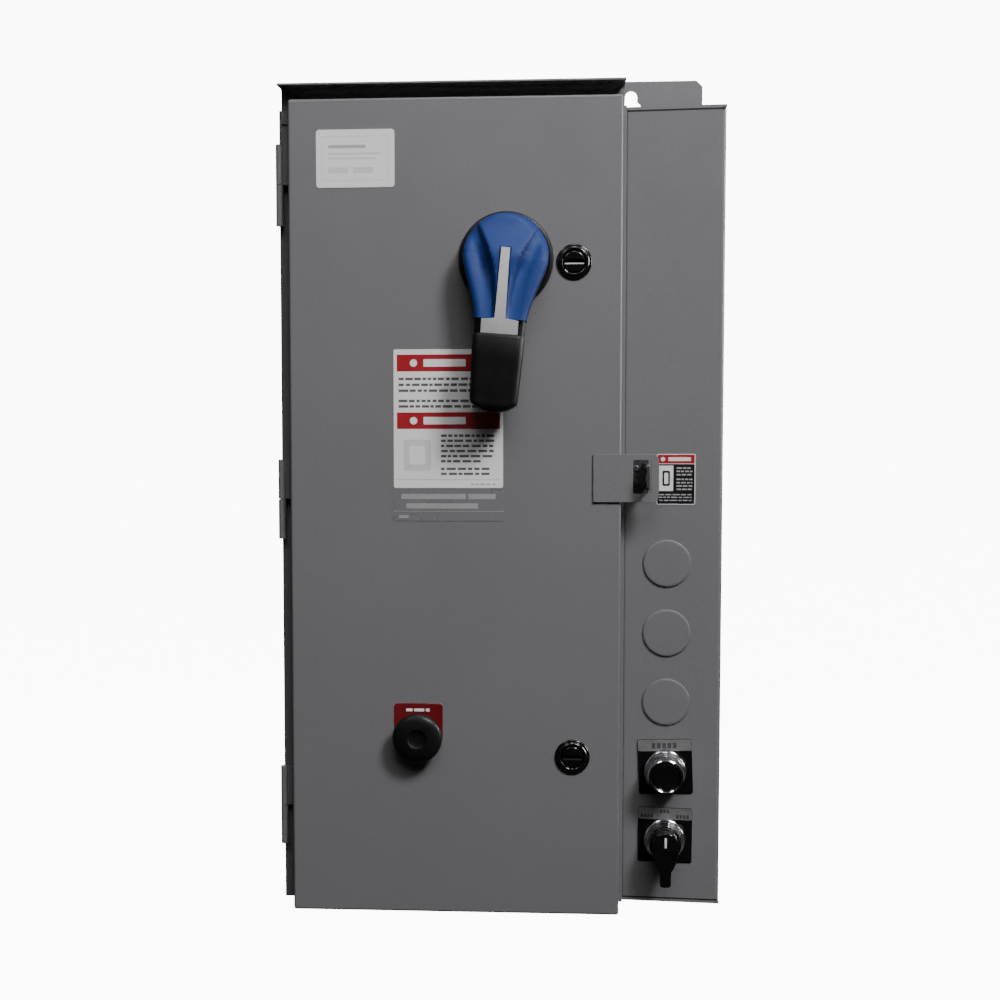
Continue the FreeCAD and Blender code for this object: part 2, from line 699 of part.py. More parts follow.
nuts, blocks = [], []
for k in (3, 4):
    n = cut(cyl(20.0, 0, 0, -7.0, -2.0), cyl(15.1, 0, 0, -8.0, -1.0))
    nuts.append(on_panel(n, PILX, pil_z[k]))
    c = fuse(box(-18.0, 18.0, 20.0, 48.0, -20.0, 20.0), box(-14.0, 14.0, 48.0, 52.0, -16.0, 16.0))
    c = cut(c, box(-19.0, -12.0, 24.0, 44.0, -16.0, -10.0), box(-19.0, -12.0, 24.0, 44.0, 10.0, 16.0),
            box(12.0, 19.0, 24.0, 44.0, -16.0, -10.0), box(12.0, 19.0, 24.0, 44.0, 10.0, 16.0))
    blocks.append(on_panel(c, PILX, pil_z[k]))
node("panel_ring_nuts", group(*nuts))
node("contact_blocks", group(*blocks))

# Momentary pushbutton: stepped chrome bezel with an extended guard.
p = fuse(cyl(17.6, 0, 0, 1.5, 6.0), cyl(16.2, 0, 0, 6.0, 10.0), cone(15.6, 14.2, 0, 0, 10.0, 25.0), cyl(15.0, 0, 0, -18.0, 1.5))
p = cut(p, cyl(11.6, 0, 0, 4.0, 27.0), cyl(8.2, 0, 0, -19.0, 5.0))
start_bezel = on_panel(soften(p, 0.8, lambda e: (at_y(e, 6.0) and e.BoundBox.XLength > 33) or (at_y(e, 25.0) and e.BoundBox.XLength > 27.5)), PILX, pil_z[3])
p = fuse(cyl(11.4, 0, 0, 12.0, 24.0), cyl(8.0, 0, 0, -14.0, 12.0))
node("start_button", on_panel(soften(p, 1.0, lambda e: at_y(e, 24.0)), PILX, pil_z[3]))

# Three-position selector: bezel and lever knob with a long tail.
p = fuse(cyl(17.4, 0, 0, 1.5, 6.0), cyl(15.6, 0, 0, 6.0, 10.0), cone(14.6, 13.4, 0, 0, 10.0, 14.0), cyl(15.0, 0, 0, -18.0, 1.5))
p = cut(p, cyl(8.2, 0, 0, -19.0, 15.0))
node("pilot_bezels", group(start_bezel, on_panel(soften(p, 0.8, lambda e: at_y(e, 6.0) and e.BoundBox.XLength > 33), PILX, pil_z[4])))
b = body("selector_lever")
pad(b, circle(sketch(b, "XZ_Plane", 14.3), 0, 0, 13.0), 5.0)
pad(b, circle(sketch(b, "XZ_Plane", -14.0), 0, 0, 8.1), 30.0)
pad(b, poly(sketch(b, "XZ_Plane", 16.0), [
    (-6.0, 11.4), (-10.2, 3.0), (-10.2, -10.0), (-4.8, -18.0), (-4.6, -30.5), (-2.6, -32.5), (2.6, -32.5), (4.6, -30.5),
    (4.8, -18.0), (10.2, -10.0), (10.2, 3.0), (6.0, 11.4)]), 12.0)
fillet(b, 1.6, lambda e: at_y(e, 28.0))
node("selector_lever", on_panel(b, PILX, pil_z[4]))

# ---------------------------------------------------------------- equipment pan
b = body("equipment_pan")
pad(b, rect(sketch(b, "XZ_Plane", PANF - PANT), -165.0, 165.0, -288.0, 295.0), PANT)
fillet(b, 8.0, lambda e: along(e, 1))
sk = sketch(b, "XZ_Plane", PANF)
studs = [(-152.0, -275.0), (152.0, -275.0), (-152.0, 282.0), (152.0, 282.0)]
for x, z in studs:
    circle(sk, x, z, 3.3)
pocket(b, sk, PANT + 1)
node("equipment_pan", b)
# The welded studs that carry the pan belong to the back sheet.
NODES["back_panel"].Label = "back_blank"
node("back_panel", fuse(NODES["back_panel"], *[fuse(cyl(3.2, x, z, T / 2, 24.0), cyl(6.0, x, z, T / 2, PANF - PANT)) for x, z in studs]))
node("pan_nuts", group(*[cut(hexz(6.4, x, z, PANF, PANF + 5.0), cyl(3.25, x, z, PANF - 1, PANF + 6)) for x, z in studs]))

# ---------------------------------------------------------------- breaker
BZ0, BZ1 = Q.w(118.0), Q.w(283.0)
bx0, bx1 = AX - 52.0, AX + 52.0
case = fuse(box(bx0, bx1, -72.0, -PANF, BZ0, BZ1), box(bx0, bx1, -90.0, -72.0, BZ0 + 17, BZ1 - 17),
            box(AX - 34.0, AX + 34.0, -97.0, -90.0, AZ - 44, AZ + 44))
tools = [box(AX - 8.0, AX + 8.0, -99.0, -62.0, AZ - 16.5, AZ + 16.5)]
for x in (-34.8, 0.0, 34.8):
    tools.append(box(AX + x - 11.0, AX + x + 11.0, -66.0, -34.0, BZ0 - 1, BZ0 + 15))
    tools.append(box(AX + x - 11.0, AX + x + 11.0, -66.0, -34.0, BZ1 - 15, BZ1 + 1))
for x in (-17.4, 17.4):
    tools.append(box(AX + x - 1.0, AX + x + 1.0, -73.0, -20.0, BZ1 - 16, BZ1 + 1))
    tools.append(box(AX + x - 1.0, AX + x + 1.0, -73.0, -20.0, BZ0 - 1, BZ0 + 16))
tools.append(cyl(4.1, AX + 24.0, AZ - 30.0, 80.0, 99.0))
node("breaker_case", soften(cut(case, *tools), 1.2, lambda e: at_y(e, 97.0) and e.BoundBox.DiagonalLength > 60))
lugs = []
for x in (-34.8, 0.0, 34.8):
    for z0, z1, s in ((BZ0, BZ0 + 14, 1), (BZ1 - 14, BZ1, -1)):
        g = box(AX + x - 8.0, AX + x + 8.0, -62.0, -38.0, z0, z1)
        if s > 0:
            g = cut(g, cyl(3.6, AX + x, z0 + 7, 56.0, 63.0))
        else:
            g = cut(g, cyl(3.6, AX + x, z0 + 7, 56.0, 63.0), cylz(4.8, AX + x, -48.0, z0 + 2, z1 + 1))
        lugs.append(g)
node("breaker_lugs", group(*lugs))

TOG = dim("toggle_rest_angle", 16.2, "degrees the breaker toggle points down when off")
t = group(fuse(box(-5.0, 5.0, -41.0, 0.0, -5.0, 5.0), cylx(7.5, 0, 0, -5.0, 5.0)))
t.Placement = FreeCAD.Placement(Vector(AX.v, -75.0, AZ.v), FreeCAD.Rotation(Vector(1, 0, 0), TOG.v))
t.setExpression("Placement.Base.x", AX.e)
t.setExpression("Placement.Base.z", AZ.e)
node("breaker_toggle", t)
node("trip_button", cyl(4.0, AX + 24.0, AZ - 30.0, 84.0, 99.0))

# Rotary operator: frame over the breaker and the sliding yoke on the toggle.
fr = fuse(box(AX - 40.0, AX - 37.0, -131.0, -90.0, AZ - 42, AZ + 42), box(AX + 37.0, AX + 40.0, -131.0, -90.0, AZ - 42, AZ + 42),
          box(AX - 40.0, AX + 40.0, -131.0, -128.0, AZ - 42, AZ + 42), cyl(10.0, AX, AZ, 126.0, 135.0))
fr = cut(fr, cyl(5.65, AX, AZ, 120, 140), cyl(4.0, AX - 26, AZ + 28, 120, 140), cyl(4.0, AX + 26, AZ + 28, 120, 140))
node("operator_frame", fr)
YZ0 = AZ - 8.19
yk = cut(box(AX - 30.0, AX + 30.0, -104.0, -101.0, YZ0 - 20, YZ0 + 20),
         box(AX - 7.0, AX + 7.0, -105.0, -100.0, YZ0 - 6.9, YZ0 + 6.9),
         box(AX - 18.0, AX - 6.0, -105.0, -100.0, YZ0 - 3.1, YZ0 + 3.1))
yk = fuse(yk, box(AX - 36.5, AX - 30.0, -110.0, -101.0, YZ0 - 20, YZ0 + 20), box(AX + 30.0, AX + 36.5, -110.0, -101.0, YZ0 - 20, YZ0 + 20))
node("operator_yoke", yk)

# ---------------------------------------------------------------- contactor
CX = -RX
cb = fuse(box(CX - 45.0, CX + 45.0, -50.0, -PANF, -150.0, -35.0), box(CX - 45.0, CX - 39.0, -74.0, -50.0, -128.0, -57.0),
          box(CX + 39.0, CX + 45.0, -74.0, -50.0, -128.0, -57.0))
tl = []
for x in (-30.0, 0.0, 30.0):
    tl.append(box(CX + x - 9.0, CX + x + 9.0, -51.0, -30.0, -48.0, -34.0))
    tl.append(box(CX + x - 9.0, CX + x + 9.0, -51.0, -30.0, -151.0, -137.0))
node("contactor_base", cut(cb, *tl))
node("contactor_coil", soften(box(CX - 38.8, CX + 38.8, -73.8, -50.2, -126.0, -59.0), 5.0, lambda e: along(e, 1)))
cc = cut(fuse(box(CX - 45.0, CX + 45.0, -92.0, -74.0, -136.0, -49.0), box(CX - 36.0, CX + 36.0, -108.0, -92.0, -124.0, -61.0)),
         box(CX - 12.3, CX + 12.3, -109.0, -84.0, -100.3, -84.7))
node("contactor_cover", soften(cc, 1.5, lambda e: at_y(e, 108.0) and e.BoundBox.DiagonalLength > 55))
node("contactor_armature", box(CX - 12.0, CX + 12.0, -107.0, -91.0, -100.0, -85.0))
tm = []
for x in (-30.0, 0.0, 30.0):
    for z0, z1 in ((-46.0, -35.0), (-150.0, -139.0)):
        tm.append(fuse(box(CX + x - 7.5, CX + x + 7.5, -44.0, -30.0, z0, z1), cyl(4.6, CX + x, (z0 + z1) / 2, 44.0, 48.0)))
node("contactor_terminals", group(*tm))

# ---------------------------------------------------------------- overload relay
ol = fuse(box(CX - 42.0, CX + 42.0, -88.0, -PANF, -228.0, -152.0), box(CX - 34.0, CX + 34.0, -100.0, -88.0, -218.0, -160.0))
ol = cut(ol, cyl(6.1, CX, -RZ, 78.0, 102.0), cyl(7.1, CX - 20.0, -205.0, 94.0, 102.0),
         *[box(CX + x - 8.0, CX + x + 8.0, -70.0, -36.0, -229.0, -214.0) for x in (-27.0, 0.0, 27.0)])
node("overload_relay", ol)
node("overload_reset", cyl(6.0, CX, -RZ, 86.0, 112.0))
d = cut(cyl(7.0, CX - 20.0, -205.0, 94.2, 103.0), box(CX - 26.0, CX - 14.0, -103.5, -101.5, -205.8, -204.2))
node("overload_dial", d)

# ---------------------------------------------------------------- control power
core = cut(box(16.0, 86.0, -72.0, -32.0, -116.0, -52.0), box(28.0, 74.0, -73.0, -31.0, -104.0, -64.0))
core = fuse(core, box(44.0, 58.0, -72.0, -32.0, -105.0, -63.0), box(12.0, 90.0, -32.0, -PANF, -112.0, -56.0))
node("transformer_core", core)
node("transformer_coil", cut(soften(box(30.0, 72.0, -84.0, -32.2, -103.5, -64.5), 3.0, lambda e: along(e, 2)),
                             box(43.8, 58.2, -72.2, -30.0, -106.0, -62.0)))
fb = fuse(box(18.0, 84.0, -30.0, -PANF, -22.0, 18.0), box(18.0, 84.0, -46.0, -30.0, -22.0, -16.0), box(18.0, 84.0, -46.0, -30.0, 12.0, 18.0),
          box(49.5, 52.5, -46.0, -30.0, -16.0, 12.0))
node("fuse_block", fb)
node("control_fuses", group(*[cylz(5.2, x, -40.0, -15.8, 11.8) for x in (35.0, 67.0)]))

tb = box(8.0, 92.0, -50.0, -PANF, -178.0, -146.0)
cuts = []
for i in range(8):
    x = 8.0 + 10.5 * i + 5.25
    cuts.append(cyl(3.4, x, -153.0, 44.0, 51.0))
    cuts.append(cyl(3.4, x, -171.0, 44.0, 51.0))
    if i:
        cuts.append(box(8.0 + 10.5 * i - 0.4, 8.0 + 10.5 * i + 0.4, -51.0, -40.0, -179.0, -145.0))
node("terminal_block", cut(tb, *cuts))
gb = fuse(box(-55.0, 35.0, -30.0, -22.0, -268.0, -256.0), cyl(5.0, -46.0, -262.0, PANF, 22.0), cyl(5.0, 26.0, -262.0, PANF, 22.0))
gb = fuse(gb, *[cyl(3.4, -38.0 + 9.5 * i, -262.0, 30.0, 33.0) for i in range(7)])
node("ground_bar", gb)


# ---------------------------------------------------------------- power leads
def route(points, r_tube, factor=0.45):
    """A tube along straight runs joined by tangent arcs."""
    pts = [Vector(*p) for p in points]
    edges = []
    cur = pts[0]
    length = 0.0
    for i in range(1, len(pts) - 1):
        a, m, c = pts[i - 1], pts[i], pts[i + 1]
        u = (m - a).normalize()
        v = (c - m).normalize()
        turn = math.acos(max(-1.0, min(1.0, u.dot(v))))
        run = min((m - a).Length, (c - m).Length)
        tl = factor * run
        rad = tl / math.tan(turn / 2)
        p1 = m - u * tl
        p2 = m + v * tl
        bis = (v - u).normalize()
        mid = m + bis * (math.hypot(rad, tl) - rad)
        if (p1 - cur).Length > 1e-6:
            edges.append(Part.LineSegment(cur, p1).toShape())
            length += (p1 - cur).Length
        edges.append(Part.Arc(p1, mid, p2).toShape())
        length += rad * turn
        cur = p2
    edges.append(Part.LineSegment(cur, pts[-1]).toShape())
    length += (pts[-1] - cur).Length
    wire = Part.Wire(edges)
    prof = Part.Wire([Part.makeCircle(r_tube, pts[0], (pts[1] - pts[0]).normalize())])
    tube = wire.makePipeShell([prof], True, False, 1)
    if not tube.isValid() or abs(tube.Volume / (math.pi * r_tube ** 2 * length) - 1) > 0.01:
        raise RuntimeError("tube volume")
    return tube


LEAD = dim("lead_radius", 4.2)
leads = []
for k, x in enumerate((-34.8, 0.0, 34.8)):
    x1 = AX.v + x
    x2 = CX.v + (-30.0, 0.0, 30.0)[k]
    leads.append(route([(x1, -50.0, BZ0.v), (x1, -50.0, 90.0), (x1 * 0.55 + x2 * 0.45, -46.0, 48.0 + 5 * k),
                        (x2, -38.0, 6.0 + 4 * k), (x2, -38.0, -35.0)], LEAD.v))
f = doc.addObject("Part::Feature", "PowerLeads")
f.Shape = Part.makeCompound(leads)
f.Placement = FreeCAD.Placement()
node("power_leads", f)

# ---------------------------------------------------------------- write
doc.recompute()
for o in doc.Objects:
    if "Invalid" in o.State or "Error" in o.State:
        raise RuntimeError("failed: %s %s %s" % (o.Name, o.Label, o.State))
labels = set()
for name, o in NODES.items():
    s = o.Shape
    if s.isNull() or not s.isValid() or not s.Solids:
        raise RuntimeError("bad shape: " + name)
    if o.Label != name or name in labels:
        raise RuntimeError("label: %s %s" % (name, o.Label))
    labels.add(name)
for name in sorted(os.listdir("parts")):
    if name.endswith(".step") and name[:-5] not in NODES:
        os.remove(os.path.join("parts", name))
for name, o in NODES.items():
    o.Shape.exportStep("parts/%s.step" % name)
print("%d nodes written" % len(NODES))
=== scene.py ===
import math
import random

import bmesh
import bpy
import numpy as np
from mathutils import Matrix, Vector


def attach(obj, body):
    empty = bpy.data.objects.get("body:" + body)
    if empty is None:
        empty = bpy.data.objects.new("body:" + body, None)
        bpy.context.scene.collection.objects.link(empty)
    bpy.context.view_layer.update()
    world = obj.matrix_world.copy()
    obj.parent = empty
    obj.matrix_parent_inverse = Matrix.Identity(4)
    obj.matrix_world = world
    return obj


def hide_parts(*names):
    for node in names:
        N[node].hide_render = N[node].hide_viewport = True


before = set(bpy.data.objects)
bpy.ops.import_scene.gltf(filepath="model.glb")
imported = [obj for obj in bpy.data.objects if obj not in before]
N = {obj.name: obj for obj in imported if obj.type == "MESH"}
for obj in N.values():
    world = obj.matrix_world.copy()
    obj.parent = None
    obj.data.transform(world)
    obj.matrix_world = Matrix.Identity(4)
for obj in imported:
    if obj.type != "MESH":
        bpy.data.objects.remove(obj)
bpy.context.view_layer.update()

MM = 0.001

# ------------------------------------------------------------------ shared places, from the frame
DOOR_FACE = -0.187                       # the door's outer face
AX, AZ = 4.8, 200.8                      # handle axis, mm
TILT = math.atan2(5.5, 79.6)             # slant of the pilot panel
PANEL = {"x": 136.2, "y": -(159.5 + (136.2 - 101.0) * 5.5 / 79.6)}
PILOT_Z = [-(43.2 + 57.15 * k) for k in range(5)]


# ------------------------------------------------------------------ materials
def _n(nt, kind, x=0, y=0, **kw):
    n = nt.nodes.new(kind)
    n.location = (x, y)
    for k, v in kw.items():
        setattr(n, k, v)
    return n


def material(name, color, rough=0.45, metal=0.0, vary=0.08, vary_scale=18.0, fine=0.03, fine_scale=400.0,
             rough_vary=0.08, rough_scale=45.0, bump=0.0, bump_scale=900.0, bump_dist=0.0002, spec=0.5, coat=0.0,
             coat_rough=0.12, edge_wear_and_highlight=0.0, edge_radius=0.0012, stretch=(1, 1, 1), bump2=0.0, bump2_scale=60.0, streak=0.0):
    m = bpy.data.materials.new(name)
    m.use_nodes = True
    nt = m.node_tree
    bsdf = nt.nodes["Principled BSDF"]
    bsdf.inputs["Metallic"].default_value = metal
    bsdf.inputs["Specular IOR Level"].default_value = spec
    bsdf.inputs["Coat Weight"].default_value = coat
    bsdf.inputs["Coat Roughness"].default_value = coat_rough
    tc = _n(nt, "ShaderNodeTexCoord", -1500, 0)
    mp = _n(nt, "ShaderNodeMapping", -1300, 0)
    mp.inputs["Scale"].default_value = stretch
    nt.links.new(tc.outputs["Object"], mp.inputs["Vector"])
    big = _n(nt, "ShaderNodeTexNoise", -1100, 200)
    big.inputs["Scale"].default_value = vary_scale
    big.inputs["Detail"].default_value = 5.0
    nt.links.new(mp.outputs["Vector"], big.inputs["Vector"])
    small = _n(nt, "ShaderNodeTexNoise", -1100, -50)
    small.inputs["Scale"].default_value = fine_scale
    small.inputs["Detail"].default_value = 3.0
    nt.links.new(mp.outputs["Vector"], small.inputs["Vector"])
    r1 = _n(nt, "ShaderNodeMapRange", -900, 200)
    r1.inputs["From Min"].default_value = 0.3
    r1.inputs["From Max"].default_value = 0.7
    r1.inputs["To Min"].default_value = 1.0 - vary
    r1.inputs["To Max"].default_value = 1.0 + vary
    nt.links.new(big.outputs["Fac"], r1.inputs["Value"])
    r2 = _n(nt, "ShaderNodeMapRange", -900, -50)
    r2.inputs["From Min"].default_value = 0.3
    r2.inputs["From Max"].default_value = 0.7
    r2.inputs["To Min"].default_value = 1.0 - fine
    r2.inputs["To Max"].default_value = 1.0 + fine
    nt.links.new(small.outputs["Fac"], r2.inputs["Value"])
    mul = _n(nt, "ShaderNodeMath", -700, 120, operation="MULTIPLY")
    nt.links.new(r1.outputs["Result"], mul.inputs[0])
    nt.links.new(r2.outputs["Result"], mul.inputs[1])
    last = mul.outputs[0]
    # Base colour made lighter along the edges, where the bevel normal turns away from the face normal: partly edge
    # wear, partly a painted highlight on the edges.
    if edge_wear_and_highlight:
        bev = _n(nt, "ShaderNodeBevel", -1100, -600)
        bev.samples = 6
        bev.inputs["Radius"].default_value = edge_radius
        geo = _n(nt, "ShaderNodeNewGeometry", -1100, -750)
        dot = _n(nt, "ShaderNodeVectorMath", -900, -650, operation="DOT_PRODUCT")
        nt.links.new(bev.outputs["Normal"], dot.inputs[0])
        nt.links.new(geo.outputs["Normal"], dot.inputs[1])
        er = _n(nt, "ShaderNodeMapRange", -700, -650)
        er.inputs["From Min"].default_value = 0.995
        er.inputs["From Max"].default_value = 0.8
        er.inputs["To Min"].default_value = 1.0
        er.inputs["To Max"].default_value = 1.0 + edge_wear_and_highlight
        nt.links.new(dot.outputs["Value"], er.inputs["Value"])
        m2 = _n(nt, "ShaderNodeMath", -500, 0, operation="MULTIPLY")
        nt.links.new(last, m2.inputs[0])
        nt.links.new(er.outputs["Result"], m2.inputs[1])
        last = m2.outputs[0]
    col = _n(nt, "ShaderNodeVectorMath", -350, 150, operation="SCALE")
    col.inputs[0].default_value = color[:3]
    nt.links.new(last, col.inputs["Scale"])
    nt.links.new(col.outputs["Vector"], bsdf.inputs["Base Color"])
    rn = _n(nt, "ShaderNodeTexNoise", -1100, -300)
    rn.inputs["Scale"].default_value = rough_scale
    rn.inputs["Detail"].default_value = 4.0
    nt.links.new(mp.outputs["Vector"], rn.inputs["Vector"])
    rr = _n(nt, "ShaderNodeMapRange", -900, -300)
    rr.inputs["From Min"].default_value = 0.3
    rr.inputs["From Max"].default_value = 0.7
    rr.inputs["To Min"].default_value = max(0.02, rough - rough_vary)
    rr.inputs["To Max"].default_value = min(1.0, rough + rough_vary)
    nt.links.new(rn.outputs["Fac"], rr.inputs["Value"])
    nt.links.new(rr.outputs["Result"], bsdf.inputs["Roughness"])
    if bump:
        bn = _n(nt, "ShaderNodeTexNoise", -700, -300)
        bn.inputs["Scale"].default_value = bump_scale
        bn.inputs["Detail"].default_value = 2.0
        nt.links.new(mp.outputs["Vector"], bn.inputs["Vector"])
        b = _n(nt, "ShaderNodeBump", -300, -300)
        b.inputs["Strength"].default_value = bump
        b.inputs["Distance"].default_value = bump_dist
        nt.links.new(bn.outputs["Fac"], b.inputs["Height"])
        if bump2:
            bn2 = _n(nt, "ShaderNodeTexNoise", -700, -500)
            bn2.inputs["Scale"].default_value = bump2_scale
            bn2.inputs["Detail"].default_value = 1.0
            nt.links.new(mp.outputs["Vector"], bn2.inputs["Vector"])
            b2 = _n(nt, "ShaderNodeBump", -500, -500)
            b2.inputs["Strength"].default_value = bump2
            b2.inputs["Distance"].default_value = bump_dist * 4
            nt.links.new(bn2.outputs["Fac"], b2.inputs["Height"])
            nt.links.new(b2.outputs["Normal"], b.inputs["Normal"])
        nt.links.new(b.outputs["Normal"], bsdf.inputs["Normal"])
    return m


def laminations(name, color, pitch_z=0.0011):
    """Stacked sheet steel: fine dark lines across Y."""
    m = material(name, color, rough=0.5, metal=0.6, vary=0.15, bump=0.1)
    nt = m.node_tree
    bsdf = nt.nodes["Principled BSDF"]
    tc = _n(nt, "ShaderNodeTexCoord", -1500, 500)
    w = _n(nt, "ShaderNodeTexWave", -900, 500, wave_type="BANDS", bands_direction="Y")
    w.inputs["Scale"].default_value = 1.0 / pitch_z / 3.14159 / 2
    w.inputs["Distortion"].default_value = 0.3
    nt.links.new(tc.outputs["Object"], w.inputs["Vector"])
    mr = _n(nt, "ShaderNodeMapRange", -700, 500)
    mr.inputs["To Min"].default_value = 0.35
    mr.inputs["To Max"].default_value = 1.2
    nt.links.new(w.outputs["Fac"], mr.inputs["Value"])
    s = _n(nt, "ShaderNodeVectorMath", -200, 400, operation="SCALE")
    old = bsdf.inputs["Base Color"].links[0].from_socket
    nt.links.new(old, s.inputs[0])
    nt.links.new(mr.outputs["Result"], s.inputs["Scale"])
    nt.links.new(s.outputs["Vector"], bsdf.inputs["Base Color"])
    return m


# The strong edge lightening here is partly bare worn metal and partly a painted highlight along the staple's edges.
BLACK_STEEL = material("black_oxide_steel", (0.062, 0.062, 0.064), rough=0.26, metal=0.3, vary=0.2, vary_scale=60.0, fine=0.2,
                       rough_vary=0.1, bump=0.15, bump_scale=500.0, bump_dist=0.0001, spec=0.5, edge_wear_and_highlight=1.4, edge_radius=0.0005)
PAINT = material("grey_powder_coat", (0.163, 0.160, 0.168), rough=0.33, vary=0.03, vary_scale=6.0, fine=0.05,
                 fine_scale=700.0, rough_vary=0.04, bump=0.20, bump_scale=620.0, bump_dist=0.00012, spec=0.4,
                 edge_wear_and_highlight=0.25, bump2=0.05, bump2_scale=9.0)
ZINC = material("zinc_plate", (0.56, 0.55, 0.50), rough=0.32, metal=1.0, vary=0.14, vary_scale=40.0, fine=0.08,
                rough_vary=0.1, bump=0.12, bump_scale=500.0, bump_dist=0.0001, edge_wear_and_highlight=0.15)
CHROME = material("chrome_plate", (0.52, 0.52, 0.54), rough=0.12, metal=1.0, vary=0.03, fine=0.02, rough_vary=0.04,
                  rough_scale=200.0, bump=0.04, bump_scale=300.0, bump_dist=0.0001)
BLACK = material("black_moulded_plastic", (0.0048, 0.0048, 0.0050), rough=0.42, vary=0.12, fine=0.15, rough_vary=0.07,
                 bump=0.25, bump_scale=1500.0, bump_dist=0.00006, spec=0.26, edge_wear_and_highlight=0.5, edge_radius=0.0006)
GLOSS_BLACK = material("black_gloss_plastic", (0.0045, 0.0045, 0.0048), rough=0.17, vary=0.1, fine=0.08, rough_vary=0.06,
                       bump=0.08, bump_scale=500.0, bump_dist=0.00008, spec=0.55, coat=0.3, edge_wear_and_highlight=0.6, edge_radius=0.0005)
BLUE = material("blue_moulded_plastic", (0.0135, 0.042, 0.190), rough=0.52, vary=0.05, vary_scale=25.0, fine=0.05,
                rough_vary=0.06, bump=0.18, bump_scale=1300.0, bump_dist=0.00006, spec=0.2, edge_wear_and_highlight=0.12, edge_radius=0.0008)
LGREY = material("light_grey_plastic", (0.43, 0.42, 0.43), rough=0.38, vary=0.04, fine=0.04, bump=0.15,
                 bump_scale=1300.0, bump_dist=0.00005, edge_wear_and_highlight=0.06)
CONT_GREY = material("housing_grey_plastic", (0.20, 0.205, 0.21), rough=0.5, vary=0.06, fine=0.08, bump=0.25,
                     bump_scale=1200.0, bump_dist=0.00008, edge_wear_and_highlight=0.25)
ENAMEL = material("white_enamel", (0.66, 0.66, 0.63), rough=0.35, vary=0.04, vary_scale=8.0, fine=0.03, bump=0.12,
                  bump_scale=500.0, bump_dist=0.0001, edge_wear_and_highlight=0.1)
WHITE_FILM = material("white_film", (0.80, 0.80, 0.81), rough=0.34, vary=0.015, fine=0.01, rough_vary=0.04, bump=0.04,
                      bump_scale=200.0, bump_dist=0.00005)
RED_FILM = material("red_film", (0.34, 0.013, 0.022), rough=0.36, vary=0.03, fine=0.04, rough_vary=0.04, bump=0.04,
                    bump_scale=220.0, bump_dist=0.00005)
RED_DARK = material("dark_red_film", (0.125, 0.004, 0.007), rough=0.36, vary=0.04, fine=0.05, rough_vary=0.04, bump=0.04,
                    bump_scale=220.0, bump_dist=0.00005)
SEAM = material("dark_joint_line", (0.016, 0.016, 0.017), rough=0.6, vary=0.1, fine=0.1, rough_vary=0.05, bump=0.1, bump_scale=300.0,
                bump_dist=0.00005, spec=0.2)
LEGEND_INK = material("legend_ink", (0.055, 0.055, 0.058), rough=0.45, vary=0.06, fine=0.08)
INK = material("black_ink", (0.0065, 0.0065, 0.007), rough=0.5, vary=0.1, fine=0.1, spec=0.2)
INK_GREY = material("grey_ink", (0.105, 0.105, 0.11), rough=0.42, vary=0.06, fine=0.08)
INK_SOFT = material("soft_grey_ink", (0.40, 0.40, 0.41), rough=0.42, vary=0.05, fine=0.06)
INK_PALE = material("pale_ink", (0.62, 0.62, 0.63), rough=0.4, vary=0.03, fine=0.04)
INK_BLUE = material("slate_blue_ink", (0.09, 0.16, 0.30), rough=0.4, vary=0.05, fine=0.05)
SMOKE = material("clear_film_over_paint", (0.160, 0.157, 0.165), rough=0.30, vary=0.03, fine=0.04, bump=0.05,
                 bump_scale=160.0, bump_dist=0.00005)
SMOKE_INK = material("film_ink", (0.31, 0.305, 0.315), rough=0.34, vary=0.05, fine=0.05)
BRUSHED = material("brushed_legend", (0.29, 0.29, 0.293), rough=0.34, metal=0.55, vary=0.06, fine=0.12,
                   fine_scale=500.0, rough_vary=0.08, bump=0.06, stretch=(0.15, 1, 1))
FOAM = material("gasket_foam", (0.012, 0.012, 0.012), rough=0.9, vary=0.2, fine=0.5, fine_scale=1600.0, bump=0.8,
                bump_scale=1800.0, bump_dist=0.0003, spec=0.2)
COPPER = material("enamelled_copper", (0.42, 0.15, 0.055), rough=0.28, metal=0.9, vary=0.1, fine=0.1, bump=0.3,
                  bump_scale=700.0, bump_dist=0.0001)
TAPE = material("yellow_coil_tape", (0.62, 0.42, 0.06), rough=0.4, vary=0.08, fine=0.08, bump=0.2, bump_scale=300.0,
                bump_dist=0.0001)
TIN = material("tinned_copper", (0.62, 0.60, 0.54), rough=0.3, metal=1.0, vary=0.08, fine=0.06, bump=0.1,
               bump_scale=400.0, bump_dist=0.0001, edge_wear_and_highlight=0.15)
BRASS = material("brass_caps", (0.62, 0.44, 0.16), rough=0.24, metal=1.0, vary=0.08, fine=0.05, bump=0.06)
CORE = laminations("laminated_core", (0.10, 0.10, 0.105))
FIBRE = material("fuse_fibre", (0.60, 0.55, 0.42), rough=0.55, vary=0.08, fine=0.1, bump=0.2, bump_dist=0.0001)
WIRE = material("wire_insulation", (0.014, 0.014, 0.015), rough=0.36, vary=0.1, fine=0.05, bump=0.08, bump_scale=250.0,
                bump_dist=0.0002, stretch=(1, 1, 0.25))
RED_PL = material("red_plastic", (0.50, 0.02, 0.02), rough=0.33, vary=0.05, fine=0.04, bump=0.1, bump_dist=0.0001)
BLUE_PL = material("relay_blue_plastic", (0.03, 0.13, 0.42), rough=0.36, vary=0.05, fine=0.04, bump=0.1, bump_dist=0.0001)
CREAM = material("dial_plastic", (0.68, 0.66, 0.60), rough=0.4, vary=0.04, fine=0.04, bump=0.1, bump_dist=0.0001)
WHITE_INK = material("white_paint_line", (0.85, 0.85, 0.85), rough=0.4, vary=0.02, fine=0.02)

